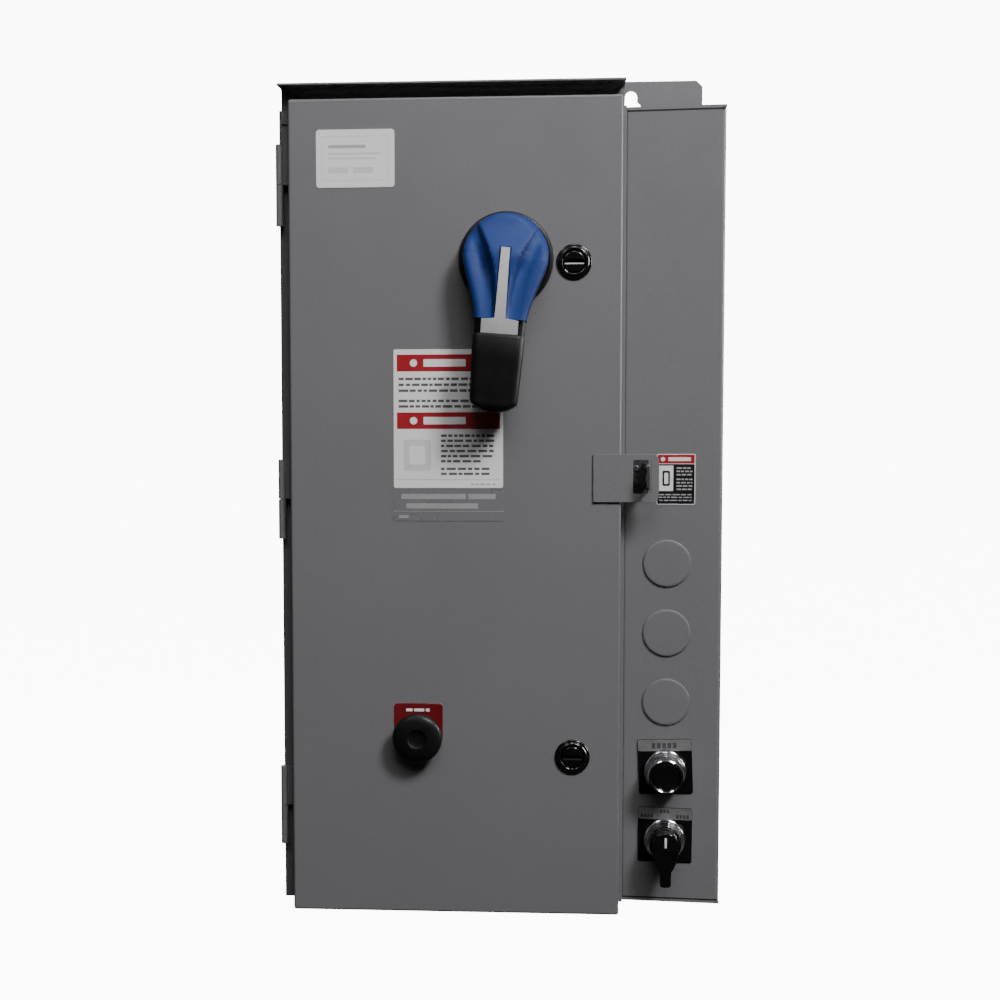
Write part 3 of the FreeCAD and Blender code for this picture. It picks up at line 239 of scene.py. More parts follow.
NODE_MAT = {
    "back_panel": PAINT, "left_side": PAINT, "pilot_side_panel": PAINT, "top_end": PAINT, "bottom_end": PAINT,
    "door_frame": PAINT, "drip_hood": PAINT, "hinge_box_leaves": PAINT, "hinge_door_leaves": PAINT, "door_pan": PAINT,
    "hasp_plate": PAINT, "hole_plugs": PAINT, "hinge_pins": ZINC, "padlock_staple": BLACK_STEEL, "staple_rivets": BLACK_STEEL,
    "pan_nuts": ZINC, "panel_ring_nuts": ZINC, "operator_frame": ZINC, "operator_yoke": ZINC, "operator_shaft": ZINC,
    "shaft_socket": ZINC, "equipment_pan": ENAMEL, "handle_base": BLACK, "handle_grip": BLACK, "latch_housings": GLOSS_BLACK,
    "upper_latch": GLOSS_BLACK, "lower_latch": GLOSS_BLACK, "reset_bushing": BLACK, "reset_knob": BLACK,
    "start_button": GLOSS_BLACK, "selector_lever": GLOSS_BLACK, "breaker_case": BLACK, "breaker_toggle": BLACK,
    "contactor_cover": BLACK, "overload_relay": BLACK, "terminal_block": BLACK, "contact_blocks": BLACK,
    "handle_hub": BLUE, "padlock_slide": LGREY, "contactor_base": CONT_GREY, "fuse_block": CONT_GREY, "door_gasket": FOAM,
    "pilot_bezels": CHROME, "nameplate": WHITE_FILM, "warning_label": WHITE_FILM, "side_label": WHITE_FILM,
    "reset_label": RED_FILM, "legend_plates": GLOSS_BLACK, "contactor_coil": TAPE, "transformer_coil": TAPE,
    "breaker_lugs": TIN, "contactor_terminals": TIN, "ground_bar": BRASS, "transformer_core": CORE, "control_fuses": FIBRE,
    "power_leads": WIRE, "trip_button": RED_PL, "overload_reset": BLUE_PL, "overload_dial": CREAM,
    "contactor_armature": CONT_GREY,
}


def dress(name, mat, bevel=None):
    o = N[name]
    o.data.materials.clear()
    o.data.materials.append(mat)
    if bevel:
        b = o.modifiers.new("soft_edges", "BEVEL")
        b.width = bevel * MM
        b.segments = 2
        b.limit_method = "ANGLE"
        b.angle_limit = math.radians(35)
        b.harden_normals = False


for name in N:
    dress(name, NODE_MAT[name])


# ------------------------------------------------------------------ mesh helpers
def to_obj(name, bm, mats, smooth=35.0, normals=True):
    if normals:
        bmesh.ops.recalc_face_normals(bm, faces=bm.faces)
    me = bpy.data.meshes.new(name)
    bm.to_mesh(me)
    bm.free()
    for m in mats if isinstance(mats, (list, tuple)) else [mats]:
        me.materials.append(m)
    o = bpy.data.objects.new(name, me)
    bpy.context.scene.collection.objects.link(o)
    if smooth is not None:
        for p in me.polygons:
            p.use_smooth = True
        me.set_sharp_from_angle(angle=math.radians(smooth))
    return o


def move_mesh(o, matrix):
    o.data.transform(matrix)
    o.data.update()
    return o


HANDLE_M = Matrix.Translation((AX * MM, 0, AZ * MM)) @ Matrix.Rotation(math.radians(4.5), 4, "Y")


def panel_m(x, z, extra=0.0):
    y = -(159.5 + (x - 101.0) * 5.5 / 79.6)
    return Matrix.Translation((x * MM, y * MM, z * MM)) @ Matrix.Rotation(-TILT, 4, "Z") @ Matrix.Rotation(math.radians(extra), 4, "Y")


def lathe_bm(bm, profile, segs=96, cx=0.0, cz=0.0, mat=0, phase=0.0):
    """A closed turned solid about an axis along -Y. profile: (radius, distance in front) in mm, first and last on the axis or a closed ring."""
    ring_idx = []
    for r, y in profile:
        if r < 1e-6:
            ring_idx.append([bm.verts.new((cx * MM, -y * MM, cz * MM))])
        else:
            ring_idx.append([bm.verts.new(((cx + r * math.cos(phase + 2 * math.pi * i / segs)) * MM, -y * MM,
                                           (cz + r * math.sin(phase + 2 * math.pi * i / segs)) * MM)) for i in range(segs)])
    closed = profile[0][0] > 1e-6 and profile[-1][0] > 1e-6
    pairs = list(zip(ring_idx[:-1], ring_idx[1:]))
    if closed:
        pairs.append((ring_idx[-1], ring_idx[0]))
    for a, b in pairs:
        for i in range(segs):
            j = (i + 1) % segs
            if len(a) == 1 and len(b) == 1:
                continue
            if len(a) == 1:
                f = bm.faces.new((a[0], b[i], b[j]))
            elif len(b) == 1:
                f = bm.faces.new((a[i], a[j], b[0]))
            else:
                f = bm.faces.new((a[i], a[j], b[j], b[i]))
            f.material_index = mat
    return bm


def lathe(name, profile, mats, segs=96, cx=0.0, cz=0.0, smooth=30.0):
    bm = bmesh.new()
    lathe_bm(bm, profile, segs, cx, cz)
    return to_obj(name, bm, mats, smooth)


def prism_bm(bm, outline, y0, y1, mat=0, bevel=0.0, segs=2, front_only=True):
    """A plate standing on the plane at distance y0 in front, outline in (x, z) mm, up to distance y1."""
    back = [bm.verts.new((x * MM, -y0 * MM, z * MM)) for x, z in outline]
    front = [bm.verts.new((x * MM, -y1 * MM, z * MM)) for x, z in outline]
    n = len(outline)
    faces = [bm.faces.new(back[::-1]), bm.faces.new(front)]
    for i in range(n):
        j = (i + 1) % n
        faces.append(bm.faces.new((back[i], back[j], front[j], front[i])))
    for f in faces:
        f.material_index = mat
    if bevel:
        edges = list(faces[1].edges)
        bmesh.ops.bevel(bm, geom=edges, offset=bevel * MM, segments=segs, profile=0.5, affect="EDGES")
    return faces


def rrect(x0, x1, z0, z1, r=0.0, k=5):
    if r <= 0:
        return [(x0, z0), (x1, z0), (x1, z1), (x0, z1)]
    pts = []
    for cx, cz, a0 in ((x1 - r, z0 + r, -90), (x1 - r, z1 - r, 0), (x0 + r, z1 - r, 90), (x0 + r, z0 + r, 180)):
        for i in range(k + 1):
            a = math.radians(a0 + 90.0 * i / k)
            pts.append((cx + r * math.cos(a), cz + r * math.sin(a)))
    return pts


def graphic(name, base, y0, y1, mats, items, r=2.0, bevel=0.12, m=None):
    """A label: a thin base plate and printed areas, each a thin raised block. items: (x0, x1, z0, z1, material index[, corner radius, lift])."""
    bm = bmesh.new()
    prism_bm(bm, rrect(*base, r), y0, y1, 0, bevel, 1)
    for it in items:
        x0, x1, z0, z1, k = it[:5]
        rr = it[5] if len(it) > 5 else 0.0
        lift = it[6] if len(it) > 6 else 0.05
        prism_bm(bm, rrect(x0, x1, z0, z1, rr), y1 - 0.02, y1 + lift, k)
    o = to_obj(name, bm, mats, 30.0)
    if m is not None:
        move_mesh(o, m)
    return o


def greek(x0, x1, z, h, rng, k, gap=(1.0, 1.8), word=(2.5, 8.0), fill=1.0):
    """A line of greeked words: plain bars of uneven length."""
    out = []
    x = x0
    end = x0 + (x1 - x0) * fill
    while x < end - word[0] * 0.6:
        w = min(rng.uniform(*word), end - x)
        out.append((x, x + w, z, z + h, k))
        x += w + rng.uniform(*gap)
    return out


# ------------------------------------------------------------------ door labels
rng = random.Random(7)
o = graphic("nameplate_face", (-146.7, -84.0, 258.7, 304.3), 187.0, 187.5, [WHITE_FILM, INK_SOFT, INK_PALE],
            [(-142.2, -88.5, 298.6, 299.1, 2), (-142.2, -88.5, 264.0, 264.5, 2), (-142.2, -141.7, 264.5, 298.6, 2), (-89.0, -88.5, 264.5, 298.6, 2),
             (-137.0, -107.0, 289.6, 292.2, 1, 0.6), (-137.0, -95.0, 284.6, 286.0, 2, 0.4), (-137.0, -99.0, 280.8, 282.2, 2, 0.4),
             (-137.0, -121.0, 270.0, 274.6, 2, 0.6), (-117.0, -101.0, 270.0, 274.6, 2, 0.6)], r=2.6)
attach(o, "door"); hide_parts("nameplate")

items = []
X0, X1, ZT = -85.3, 2.6, 130.2
items.append((X0 + 2.6, X1 - 2.6, 112.6, 126.0, 1))
items.append((X0 + 2.6, X1 - 2.6, 66.6, 79.8, 1))
items.append((X0 + 2.6, X1 - 2.6, 25.6, 26.0, 3, 0.0, 0.04))
for z in (119.3, 73.2):
    items.append((X0 + 24.0, X0 + 58.0, z - 3.0, z + 3.0, 0, 0.6, 0.09))
    items.append((X0 + 13.0, X0 + 19.0, z - 3.0, z + 3.0, 0, 3.0, 0.09))
for z in (105.6, 100.9, 96.2):
    items += greek(X0 + 4.0, X1 - 6.0, z, 2.0, rng, 2)
for z in (88.0, 83.6):
    items += greek(X0 + 4.0, X1 - 6.0, z, 2.0, rng, 2, fill=0.9)
for i, z in enumerate((60.2, 56.1, 52.0, 47.9, 43.8, 39.7)):
    items += greek(X0 + 38.0, X1 - 4.0, z, 1.9, rng, 2, fill=0.95 if i < 5 else 0.7)
for i, z in enumerate((33.6, 29.6)):
    items += greek(X0 + 38.0, X1 - 4.0, z, 1.9, rng, 2, fill=0.85)
items += [(X0 + 8.0, X0 + 30.0, 33.0, 58.0, 4, 2.0), (X0 + 12.5, X0 + 25.5, 38.0, 53.0, 0, 1.5, 0.09)]
items += greek(X0 + 62.0, X1 - 6.0, 21.4, 1.3, rng, 3, word=(2.0, 4.0))
o = graphic("caution_label_face", (X0, X1, 19.2, ZT), 187.0, 187.3, [WHITE_FILM, RED_FILM, INK_GREY, INK_SOFT, INK_PALE], items, r=1.4, bevel=0.08)
strip = graphic("clear_strip_face", (X0 - 1.0, X1 + 1.2, -7.4, 18.9), 187.0, 187.3, [SMOKE, SMOKE_INK],
                [(X0 + 6.0, X0 + 58.0, 10.2, 14.4, 1), (X0 + 60.0, X1 - 6.0, 10.2, 14.4, 1), (X0 + 10.0, X1 - 20.0, 2.6, 6.8, 1),
                 (X0 - 0.6, X1 + 0.8, 0.2, 0.6, 1), (X0 + 4.0, X0 + 12.0, -5.0, -2.8, 1)], r=0.8, bevel=0.04)
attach(o, "door"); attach(strip, "door"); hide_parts("warning_label")

bm = bmesh.new()


def tab(r_out, top, corner):
    cx, cz = -66.0, -182.0
    pts = [(cx + r_out * math.cos(a), cz + r_out * math.sin(a)) for a in np.linspace(math.pi, 2 * math.pi, 49)]
    for k in range(6):
        a = math.pi / 2 * k / 5
        pts.append((cx + r_out - corner + corner * math.cos(a), top - corner + corner * math.sin(a)))
    for k in range(6):
        a = math.pi / 2 + math.pi / 2 * k / 5
        pts.append((cx - r_out + corner + corner * math.cos(a), top - corner + corner * math.sin(a)))
    return pts


prism_bm(bm, tab(19.8, -156.0, 2.2), 187.0, 187.5, 1, 0.12, 2)
for x, w in ((-76.0, 5.2), (-69.6, 8.4), (-60.0, 3.2)):
    prism_bm(bm, rrect(x, x + w, -162.6, -160.2, 0.5), 187.48, 187.56, 0)
o = to_obj("reset_label_face", bm, [WHITE_FILM, RED_DARK])
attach(o, "door"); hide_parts("reset_label")

# side label on the slanted panel
items = [(-14.9, 14.9, 12.9, 20.0, 1, 0.8), (-14.9, 14.9, -20.0, 12.4, 2, 0.8), (-13.6, -2.2, -9.5, 11.2, 0, 0.2, 0.09)]
items += [(-10.9, -4.9, -5.4, 7.0, 2, 1.2, 0.12), (-9.5, -6.3, -3.8, 5.4, 0, 0.8, 0.14)]
for z in (8.6, 5.9, 3.2, -0.6, -3.3, -6.0, -8.7):
    items += [(t[0], t[1], t[2], t[3], 3, 0.0, 0.09) for t in greek(0.4, 13.2, z, 1.2, rng, 3, gap=(0.6, 1.0), word=(2.0, 5.0))]
for z in (-12.9, -15.1, -17.6):
    items += [(t[0], t[1], t[2], t[3], 3, 0.0, 0.09) for t in greek(-13.4, 12.6, z, 0.9, rng, 3, gap=(0.6, 1.1), word=(2.0, 6.0))]
items += [(-12.4, -8.8, 14.6, 18.2, 0, 1.8, 0.09), (-6.2, 11.8, 14.9, 18.0, 0, 0.5, 0.09)]
o = graphic("side_label_face", (-15.5, 15.5, -20.6, 20.6), 0.0, 0.3, [WHITE_FILM, RED_FILM, INK, INK_SOFT], items, r=1.2, bevel=0.08,
            m=panel_m(142.8, 25.5))
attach(o, "enclosure"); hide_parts("side_label")


# ------------------------------------------------------------------ handle
def smooth01(t):
    t = np.clip(t, 0, 1)
    return t * t * (3 - 2 * t)


def hub_half_width(z):
    z = np.asarray(z, float)
    R = 33.6
    zc, zb, wb = -9.0, -50.0, 20.6
    wc = math.sqrt(R * R - zc * zc)
    s0 = -zc / wc                    # slope of the circle there, dw/dz
    out = np.sqrt(np.maximum(R * R - z * z, 0))
    L = zc - zb
    t = np.clip((zc - z) / L, 0, 1)
    h00, h10, h01, h11 = 2 * t**3 - 3 * t**2 + 1, t**3 - 2 * t**2 + t, -2 * t**3 + 3 * t**2, t**3 - t**2
    neck = h00 * wc + h10 * (-s0 * L) + h01 * wb + h11 * (-0.10 * L)
    return np.where(z < zc, neck, out)


def hub_height(x, z):
    """Front surface of the hub in mm in front of the door, before its rim is rounded."""
    base = 25.5 + 13.4 * smooth01((30.0 - z) / 34.0)
    crown = -0.0030 * x * x * smooth01((z + 60) / 60)
    xg = np.interp(z, [-50, -40, -30, -17, -8, 5, 18, 30], [7.2, 7.4, 8.2, 10.0, 12.2, 16.8, 22.8, 28.6])
    depth = np.interp(z, [-50, -30, -12, 4, 16, 26, 34], [3.0, 6.2, 8.6, 8.2, 5.4, 1.9, 0.0])
    d = np.abs(x) - xg
    g = np.where(d < 0, np.exp(-(d / 2.1) ** 2), np.exp(-(d / np.interp(z, [-50, 0, 20], [6.5, 9.5, 9.0])) ** 2))
    lobe = -np.interp(z, [-50, 0, 30], [1.6, 4.4, 0.8]) * smooth01((np.abs(x) - xg + 1.0) / 9.0)
    # the lobe away from the ON side falls off more
    left = -np.interp(z, [-50, 0, 30], [1.4, 3.6, 0.8]) * smooth01((-x - xg + 2.0) / 16.0)
    return base + crown - depth * g + lobe + left


ROW = np.concatenate([33.6 * np.cos(np.linspace(0, math.radians(81.2), 58)), [5.05, 4.72], np.linspace(4.0, -50.0, 74)])
ABS_COL = np.array([0.0, 2.2, 4.3, 4.6, 5.3])
side_z = np.concatenate([33.6 * np.cos(np.linspace(0, math.pi / 2 + 0.27, 180)), np.linspace(-10.0, -50.0, 120)])
side_pts = np.stack([hub_half_width(side_z), side_z], 1)
side_pts[0, 0] = 0.0
side_pts = np.concatenate([side_pts, side_pts * [-1, 1]])
RS = 6.0
M = 26
grid = []
for z in ROW:
    w = max(float(hub_half_width(z)), 1e-4)
    if abs(z - 33.6) < 1e-9:
        w = 1e-4
    k = min(1.0, w / 14.0)
    a0 = ABS_COL * k
    half = np.concatenate([a0, a0[-1] + (w - a0[-1]) * np.sin(math.pi / 2 * np.arange(1, M + 1) / M)])
    xs = np.concatenate([-half[:0:-1], half])
    pz = np.full_like(xs, z)
    h = hub_height(xs, pz)
    h = np.where((np.abs(xs) < 4.45) & (z < 4.9), h - 1.5, h)
    d = np.sqrt(((np.stack([xs, pz], 1)[:, None, :] - side_pts[None]) ** 2).sum(2)).min(1)
    d = np.minimum(d, RS)
    d[0] = d[-1] = 0.0
    h = h - (RS - np.sqrt(np.maximum(RS * RS - (RS - d) ** 2, 0)))
    grid.append([(x, z, y) for x, y in zip(xs, h)])
bm = bmesh.new()
front = [[bm.verts.new((x * MM, -(187.0 + y) * MM, z * MM)) for x, z, y in row] for row in grid]
back = []
for row in grid:
    x, z, _ = row[-1]
    y = float(np.interp(z, [-15.0, -11.0], [15.0, 5.6]))
    xi = x * 0.985
    back.append([bm.verts.new((-xi * MM, -(187.0 + y) * MM, z * MM)), bm.verts.new((xi * MM, -(187.0 + y) * MM, z * MM))])
nc = len(front[0])
for r in range(len(front) - 1):
    for c in range(nc - 1):
        bm.faces.new((front[r][c], front[r][c + 1], front[r + 1][c + 1], front[r + 1][c]))
    bm.faces.new((front[r][0], front[r + 1][0], back[r + 1][0], back[r][0]))
    bm.faces.new((front[r][-1], back[r][1], back[r + 1][1], front[r + 1][-1]))
    bm.faces.new((back[r][0], back[r + 1][0], back[r + 1][1], back[r][1]))
bm.faces.new(list(front[-1]) + [back[-1][1], back[-1][0]])
bmesh.ops.remove_doubles(bm, verts=bm.verts, dist=1e-6)
bmesh.ops.dissolve_degenerate(bm, edges=bm.edges, dist=1e-7)
hub = to_obj("handle_hub_shell", bm, BLUE, 40.0)
move_mesh(hub, HANDLE_M)
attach(hub, "handle"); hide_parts("handle_hub")

# grip: collar beside the slide, then a long bar with chamfered long edges and a rounded end
bm = bmesh.new()


def section(w, y_back, y_front, ch, z, ch_d=None):
    """Half-octagon section: flat front, chamfered long edges, straight sides, softened back."""
    ch_d = ch if ch_d is None else ch_d
    b = 1.6
    return [(-w + b, y_back, z), (-w, y_back + b, z), (-w, y_front - ch_d, z), (-w + ch * 0.35, y_front - ch_d * 0.45, z),
            (-w + ch, y_front - ch_d * 0.08, z), (-w + ch + 2.0, y_front, z), (w - ch - 2.0, y_front, z),
            (w - ch, y_front - ch_d * 0.08, z), (w - ch * 0.35, y_front - ch_d * 0.45, z), (w, y_front - ch_d, z),
            (w, y_back + b, z), (w - b, y_back, z)]


secs = []
for z, w, yb, yf, ch in ((-50.2, 19.6, 17.0, 33.0, 3.0), (-61.8, 19.8, 17.0, 33.0, 3.0), (-62.3, 19.2, 16.8, 41.6, 3.0),
                         (-62.9, 19.9, 16.2, 43.2, 3.4), (-64.5, 20.0, 16.0, 44.0, 3.8), (-80.0, 19.7, 16.0, 43.6, 3.8),
                         (-96.0, 19.2, 16.0, 43.0, 3.8), (-108.0, 18.7, 16.0, 42.4, 3.8), (-113.6, 18.5, 16.0, 42.0, 3.8)):
    secs.append(section(w, yb, yf, ch, z))
RE = 26.6
for i in range(1, 13):
    z = -114.6 - 7.5 * math.sin(i / 12 * math.pi / 2) if i < 12 else -122.15
    u = max(0.2, 122.3 + z)
    w = min(18.4, math.sqrt(max(0.5, 2 * RE * u - u * u)))
    k = (-114.6 - z) / 7.55
    ch = min(3.8, w * 0.3)
    secs.append(section(max(w, 4.2), 16.0 + 3.0 * k ** 3, 42.3 - 3.2 * k ** 3, ch, z))
rows = [[bm.verts.new((x * MM, -(187.0 + y) * MM, z * MM)) for x, y, z in s] for s in secs]
for a, b in zip(rows[:-1], rows[1:]):
    n = len(a)
    for i in range(n):
        j = (i + 1) % n
        bm.faces.new((a[i], a[j], b[j], b[i]))
bm.faces.new(rows[0][::-1])
bm.faces.new(rows[-1])
bmesh.ops.bevel(bm, geom=[e for e in bm.edges if len(e.link_faces) == 2 and e.calc_face_angle(0) > math.radians(50)], offset=0.5 * MM,
                segments=2, profile=0.5, affect="EDGES")
grip = to_obj("handle_grip_shell", bm, BLACK, 28.0)
move_mesh(grip, HANDLE_M)
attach(grip, "handle"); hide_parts("handle_grip")

# T-shaped padlock slide
bm = bmesh.new()
T_out = [(-3.7, 4.4), (-3.7, -50.3), (-14.4, -50.9), (-14.4, -62.0), (14.4, -62.0), (14.4, -50.9), (3.7, -50.3), (3.7, 4.4)]
prism_bm(bm, T_out[::-1], 33.3 + 187.0, 39.6 + 187.0, 0, 0.5, 2)
slide = to_obj("padlock_slide_shell", bm, LGREY, 30.0)
move_mesh(slide, HANDLE_M)
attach(slide, "padlock_slide"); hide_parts("padlock_slide")

ring = lathe("handle_ring", [(12.35, 178.2), (17.5, 178.2), (17.5, 186.9), (36.9, 186.9), (37.5, 187.2), (37.6, 188.2), (37.6, 190.0),
                             (37.1, 191.2), (36.0, 191.9), (34.6, 192.0), (34.2, 191.4), (33.9, 190.9), (12.35, 190.9)], BLACK, 128, AX, AZ, 30)
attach(ring, "door"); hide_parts("handle_base")

# ------------------------------------------------------------------ latches
def cut_with(o, cutters):
    for c in cutters:
        m = o.modifiers.new("cut", "BOOLEAN")
        m.operation = "DIFFERENCE"
        m.object = c
        m.solver = "EXACT"
    dg = bpy.context.evaluated_depsgraph_get()
    me = bpy.data.meshes.new_from_object(o.evaluated_get(dg))
    o.modifiers.clear()
    o.data = me
    for c in cutters:
        bpy.data.objects.remove(c)
    for p in me.polygons:
        p.use_smooth = True
    me.set_sharp_from_angle(angle=math.radians(26))
    return o


bm = bmesh.new()
for zz in (198.5, -198.5):
    lathe_bm(bm, [(8.78, 175.1), (10.1, 175.1), (10.1, 187.0), (13.8, 187.0), (14.1, 187.3), (14.1, 188.0), (13.8, 188.5), (13.2, 188.75),
                  (12.2, 188.8), (11.9, 188.95), (11.65, 189.35), (11.3, 189.7), (10.8, 189.93), (10.2, 190.0), (9.7, 189.9), (9.3, 189.6),
                  (9.05, 189.15), (8.9, 188.6), (8.78, 187.8)], 112, 58.8, zz)
o = to_obj("latch_housing_rings", bm, GLOSS_BLACK, 40)
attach(o, "door"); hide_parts("latch_housings")

for nm, s_ in (("upper", 1), ("lower", -1)):
    zc = 198.5 * s_
    bm = bmesh.new()
    lathe_bm(bm, [(0, 157.0), (4.6, 157.0), (5.0, 157.4), (5.0, 174.0), (8.2, 174.0), (8.65, 174.4), (8.65, 188.5), (8.55, 189.05), (8.25, 189.5),
                  (7.8, 189.78), (7.3, 189.85), (0, 189.85)], 112, 58.8, zc)
    core = to_obj(nm + "_latch_core", bm, GLOSS_BLACK, 30)
    cb = bmesh.new()
    sec = [(-2.5, 190.05), (-2.1, 189.85), (-1.05, 189.2), (-0.95, 186.6), (0.95, 186.6), (1.05, 189.2), (2.1, 189.85), (2.5, 190.05), (2.5, 191.0), (-2.5, 191.0)]
    ends = []
    for x in (-7.55, 7.55):
        ends.append([cb.verts.new(((58.8 + x) * MM, -y * MM, (zc + z) * MM)) for z, y in sec])
    n = len(sec)
    cb.faces.new(ends[0]); cb.faces.new(ends[1][::-1])
    for i in range(n):
        j = (i + 1) % n
        cb.faces.new((ends[0][i], ends[0][j], ends[1][j], ends[1][i]))
    cutter = to_obj(nm + "_slot_cutter", cb, GLOSS_BLACK, None)
    cut_with(core, [cutter])
    # cam with a rounded tip, and its hexagon nut
    bm = bmesh.new()
    cam_out = [(-6.5, -6.0), (-4.5, -8.0), (4.5, -8.0), (6.5, -6.0), (6.5, 29.0), (5.6, 31.6), (3.4, 33.0), (-3.4, 33.0), (-5.6, 31.6), (-6.5, 29.0)]
    prism_bm(bm, [(58.8 + x, zc + z) for x, z in cam_out], 159.0, 162.0, 0, 0.4, 2)
    hexo = [(58.8 + 7.0 * math.cos(math.radians(60 * k)), zc + 7.0 * math.sin(math.radians(60 * k))) for k in range(6)]
    prism_bm(bm, hexo, 155.0, 159.0, 0, 0.0)
    cam_part = to_obj(nm + "_latch_cam", bm, ZINC, 30)
    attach(core, nm + "_latch"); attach(cam_part, nm + "_latch")
    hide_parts(nm + "_latch")

# ------------------------------------------------------------------ reset operator
knob = lathe("reset_mushroom", [(0, 112.5), (3.6, 112.5), (4.0, 113.0), (4.0, 176.0), (8.98, 176.0), (8.98, 196.5), (9.4, 196.85), (12.0, 197.0),
                                (17.6, 197.2), (19.2, 197.9), (19.9, 199.2), (20.0, 200.3), (19.7, 201.4), (18.8, 202.5), (17.2, 203.5),
                                (14.6, 204.4), (11.6, 205.0), (9.0, 205.35), (8.0, 205.4), (7.4, 205.3), (7.0, 205.0), (6.7, 204.4),
                                (5.6, 203.9), (3.0, 203.7), (0, 203.6)], BLACK, 128, -66.0, -182.0, 30)
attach(knob, "reset"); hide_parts("reset_knob")
dress("reset_bushing", BLACK, 0.4)

# ------------------------------------------------------------------ pilot panel
bm = bmesh.new()
for k in range(3):
    start = len(bm.verts)
    lathe_bm(bm, [(13.6, -8.9), (15.1, -8.9), (15.1, 0.0), (18.9, 0.0), (19.3, 0.4), (19.35, 1.0), (19.0, 1.5), (18.2, 1.85), (17.0, 1.9), (0, 1.9)], 96)
    # inner side of the plug's skirt
    bm.verts.ensure_lookup_table()
    vs = bm.verts[start:]
    lathe_start = len(bm.verts)
    lathe_bm(bm, [(13.6, -8.9), (13.6, -1.0), (0, -1.0)], 96)
    bm.verts.ensure_lookup_table()
    for v in list(bm.verts)[start:]:
        v.co = panel_m(136.2, PILOT_Z[k]) @ v.co
bmesh.ops.remove_doubles(bm, verts=bm.verts, dist=1e-6)
o = to_obj("hole_plug_caps", bm, PAINT, 30)
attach(o, "enclosure"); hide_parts("hole_plugs")

# legend plates: black field, brushed head band, greeked marks
bm = bmesh.new()
for k, extra in ((3, -2.2), (4, 0.4)):
    start = len(bm.verts)
    prism_bm(bm, rrect(-22.0, 22.0, -19.0, 26.0, 1.2), 0.0, 1.3, 0, 0.15, 1)
    prism_bm(bm, rrect(-21.8, 21.8, 16.4, 25.8, 1.0), 1.25, 1.5, 1, 0.05, 1)
    marks = ((-10.5, 11.0),) if k == 3 else ((-20.0, -8.8), (-4.2, 4.4), (9.2, 20.6))
    for a, b_ in marks:
        x = a
        while x < b_ - 1.0:
            lift = 4.2 if (k == 4 and a == -4.2) else 0.0
            zz = 18.6 if k == 3 else 17.4 + lift
            hh = 4.4 if k == 3 else 3.2
            prism_bm(bm, rrect(x, x + (3.0 if k == 3 else 1.9), zz, min(zz + hh, 25.4), 0.2), 1.48, 1.54, 2)
            x += 4.3 if k == 3 else 2.7
    bm.verts.ensure_lookup_table()
    for v in list(bm.verts)[start:]:
        v.co = panel_m(136.2, PILOT_Z[k], extra) @ v.co
o = to_obj("legend_plate_faces", bm, [GLOSS_BLACK, BRUSHED, LEGEND_INK], 30)
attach(o, "enclosure"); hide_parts("legend_plates")

# bezels
bm = bmesh.new()
start = len(bm.verts)
lathe_bm(bm, [(8.25, -17.9), (14.2, -17.9), (15.0, -17.2), (15.0, 1.5), (17.0, 1.5), (17.6, 2.1), (17.6, 4.6), (17.2, 5.6), (16.6, 6.0), (16.3, 6.3),
              (16.2, 7.0), (16.2, 8.8), (15.9, 9.6), (15.5, 10.0), (15.3, 10.4), (15.2, 12.6), (15.5, 13.0), (15.5, 15.4), (15.2, 15.9),
              (14.8, 16.4), (14.6, 18.6), (14.8, 19.0), (14.8, 21.4), (14.5, 22.2), (14.3, 23.6), (14.0, 24.6), (13.4, 25.0), (12.4, 25.0),
              (11.8, 24.6), (11.65, 23.8), (11.65, 4.2), (8.25, 4.2)], 112)
bm.verts.ensure_lookup_table()
for v in list(bm.verts)[start:]:
    v.co = panel_m(136.2, PILOT_Z[3]) @ v.co
start = len(bm.verts)
lathe_bm(bm, [(8.25, -17.9), (14.2, -17.9), (15.0, -17.2), (15.0, 1.5), (16.8, 1.5), (17.4, 2.1), (17.4, 4.6), (17.0, 5.6), (16.4, 6.0), (16.0, 6.4),
              (15.9, 8.0), (15.6, 8.6), (15.2, 9.0), (15.0, 9.4), (15.0, 11.2), (14.6, 12.0), (14.0, 12.6), (13.7, 13.4), (13.4, 13.9), (12.8, 14.0),
              (8.25, 14.0)], 112)
bm.verts.ensure_lookup_table()
for v in list(bm.verts)[start:]:
    v.co = panel_m(136.2, PILOT_Z[4]) @ v.co
o = to_obj("pilot_bezel_rings", bm, CHROME, 25)
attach(o, "enclosure"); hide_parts("pilot_bezels")

btn = lathe("start_button_cap", [(0, -13.9), (7.4, -13.9), (8.0, -13.3), (8.0, 12.0), (10.8, 12.0), (11.35, 12.6), (11.4, 22.4), (11.1, 23.4),
                                 (10.3, 23.9), (9.0, 23.95), (7.0, 23.5), (4.0, 23.1), (0, 22.9)], GLOSS_BLACK, 96)
move_mesh(btn, panel_m(136.2, PILOT_Z[3]))
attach(btn, "start"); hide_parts("start_button")

# selector knob: round skirt, raised lever with its long tail, white index line
bm = bmesh.new()
lathe_bm(bm, [(0, -13.9), (7.6, -13.9), (8.0, -13.4), (8.0, 14.3), (12.6, 14.3), (13.0, 14.8), (13.0, 17.6), (12.6, 18.6), (11.6, 19.2), (0, 19.3)], 96)
lev = [(0, 11.9), (-3.6, 11.6), (-6.4, 10.6), (-8.4, 8.6), (-9.8, 5.6), (-10.3, 2.0), (-10.3, -7.6), (-9.8, -9.8), (-8.2, -12.4), (-6.2, -15.0), (-5.0, -17.6),
       (-4.6, -20.0), (-4.3, -31.0), (-3.9, -32.0), (-3.2, -32.45), (0, -32.5)]
lev = lev + [(-x, z) for x, z in lev[-2:0:-1]]
prism_bm(bm, lev, 18.0, 28.0, 0, 1.0, 3)
prism_bm(bm, rrect(-0.85, 0.85, 0.2, 8.4, 0.25), 27.8, 28.15, 1)
sel = to_obj("selector_knob", bm, [GLOSS_BLACK, WHITE_INK], 32)
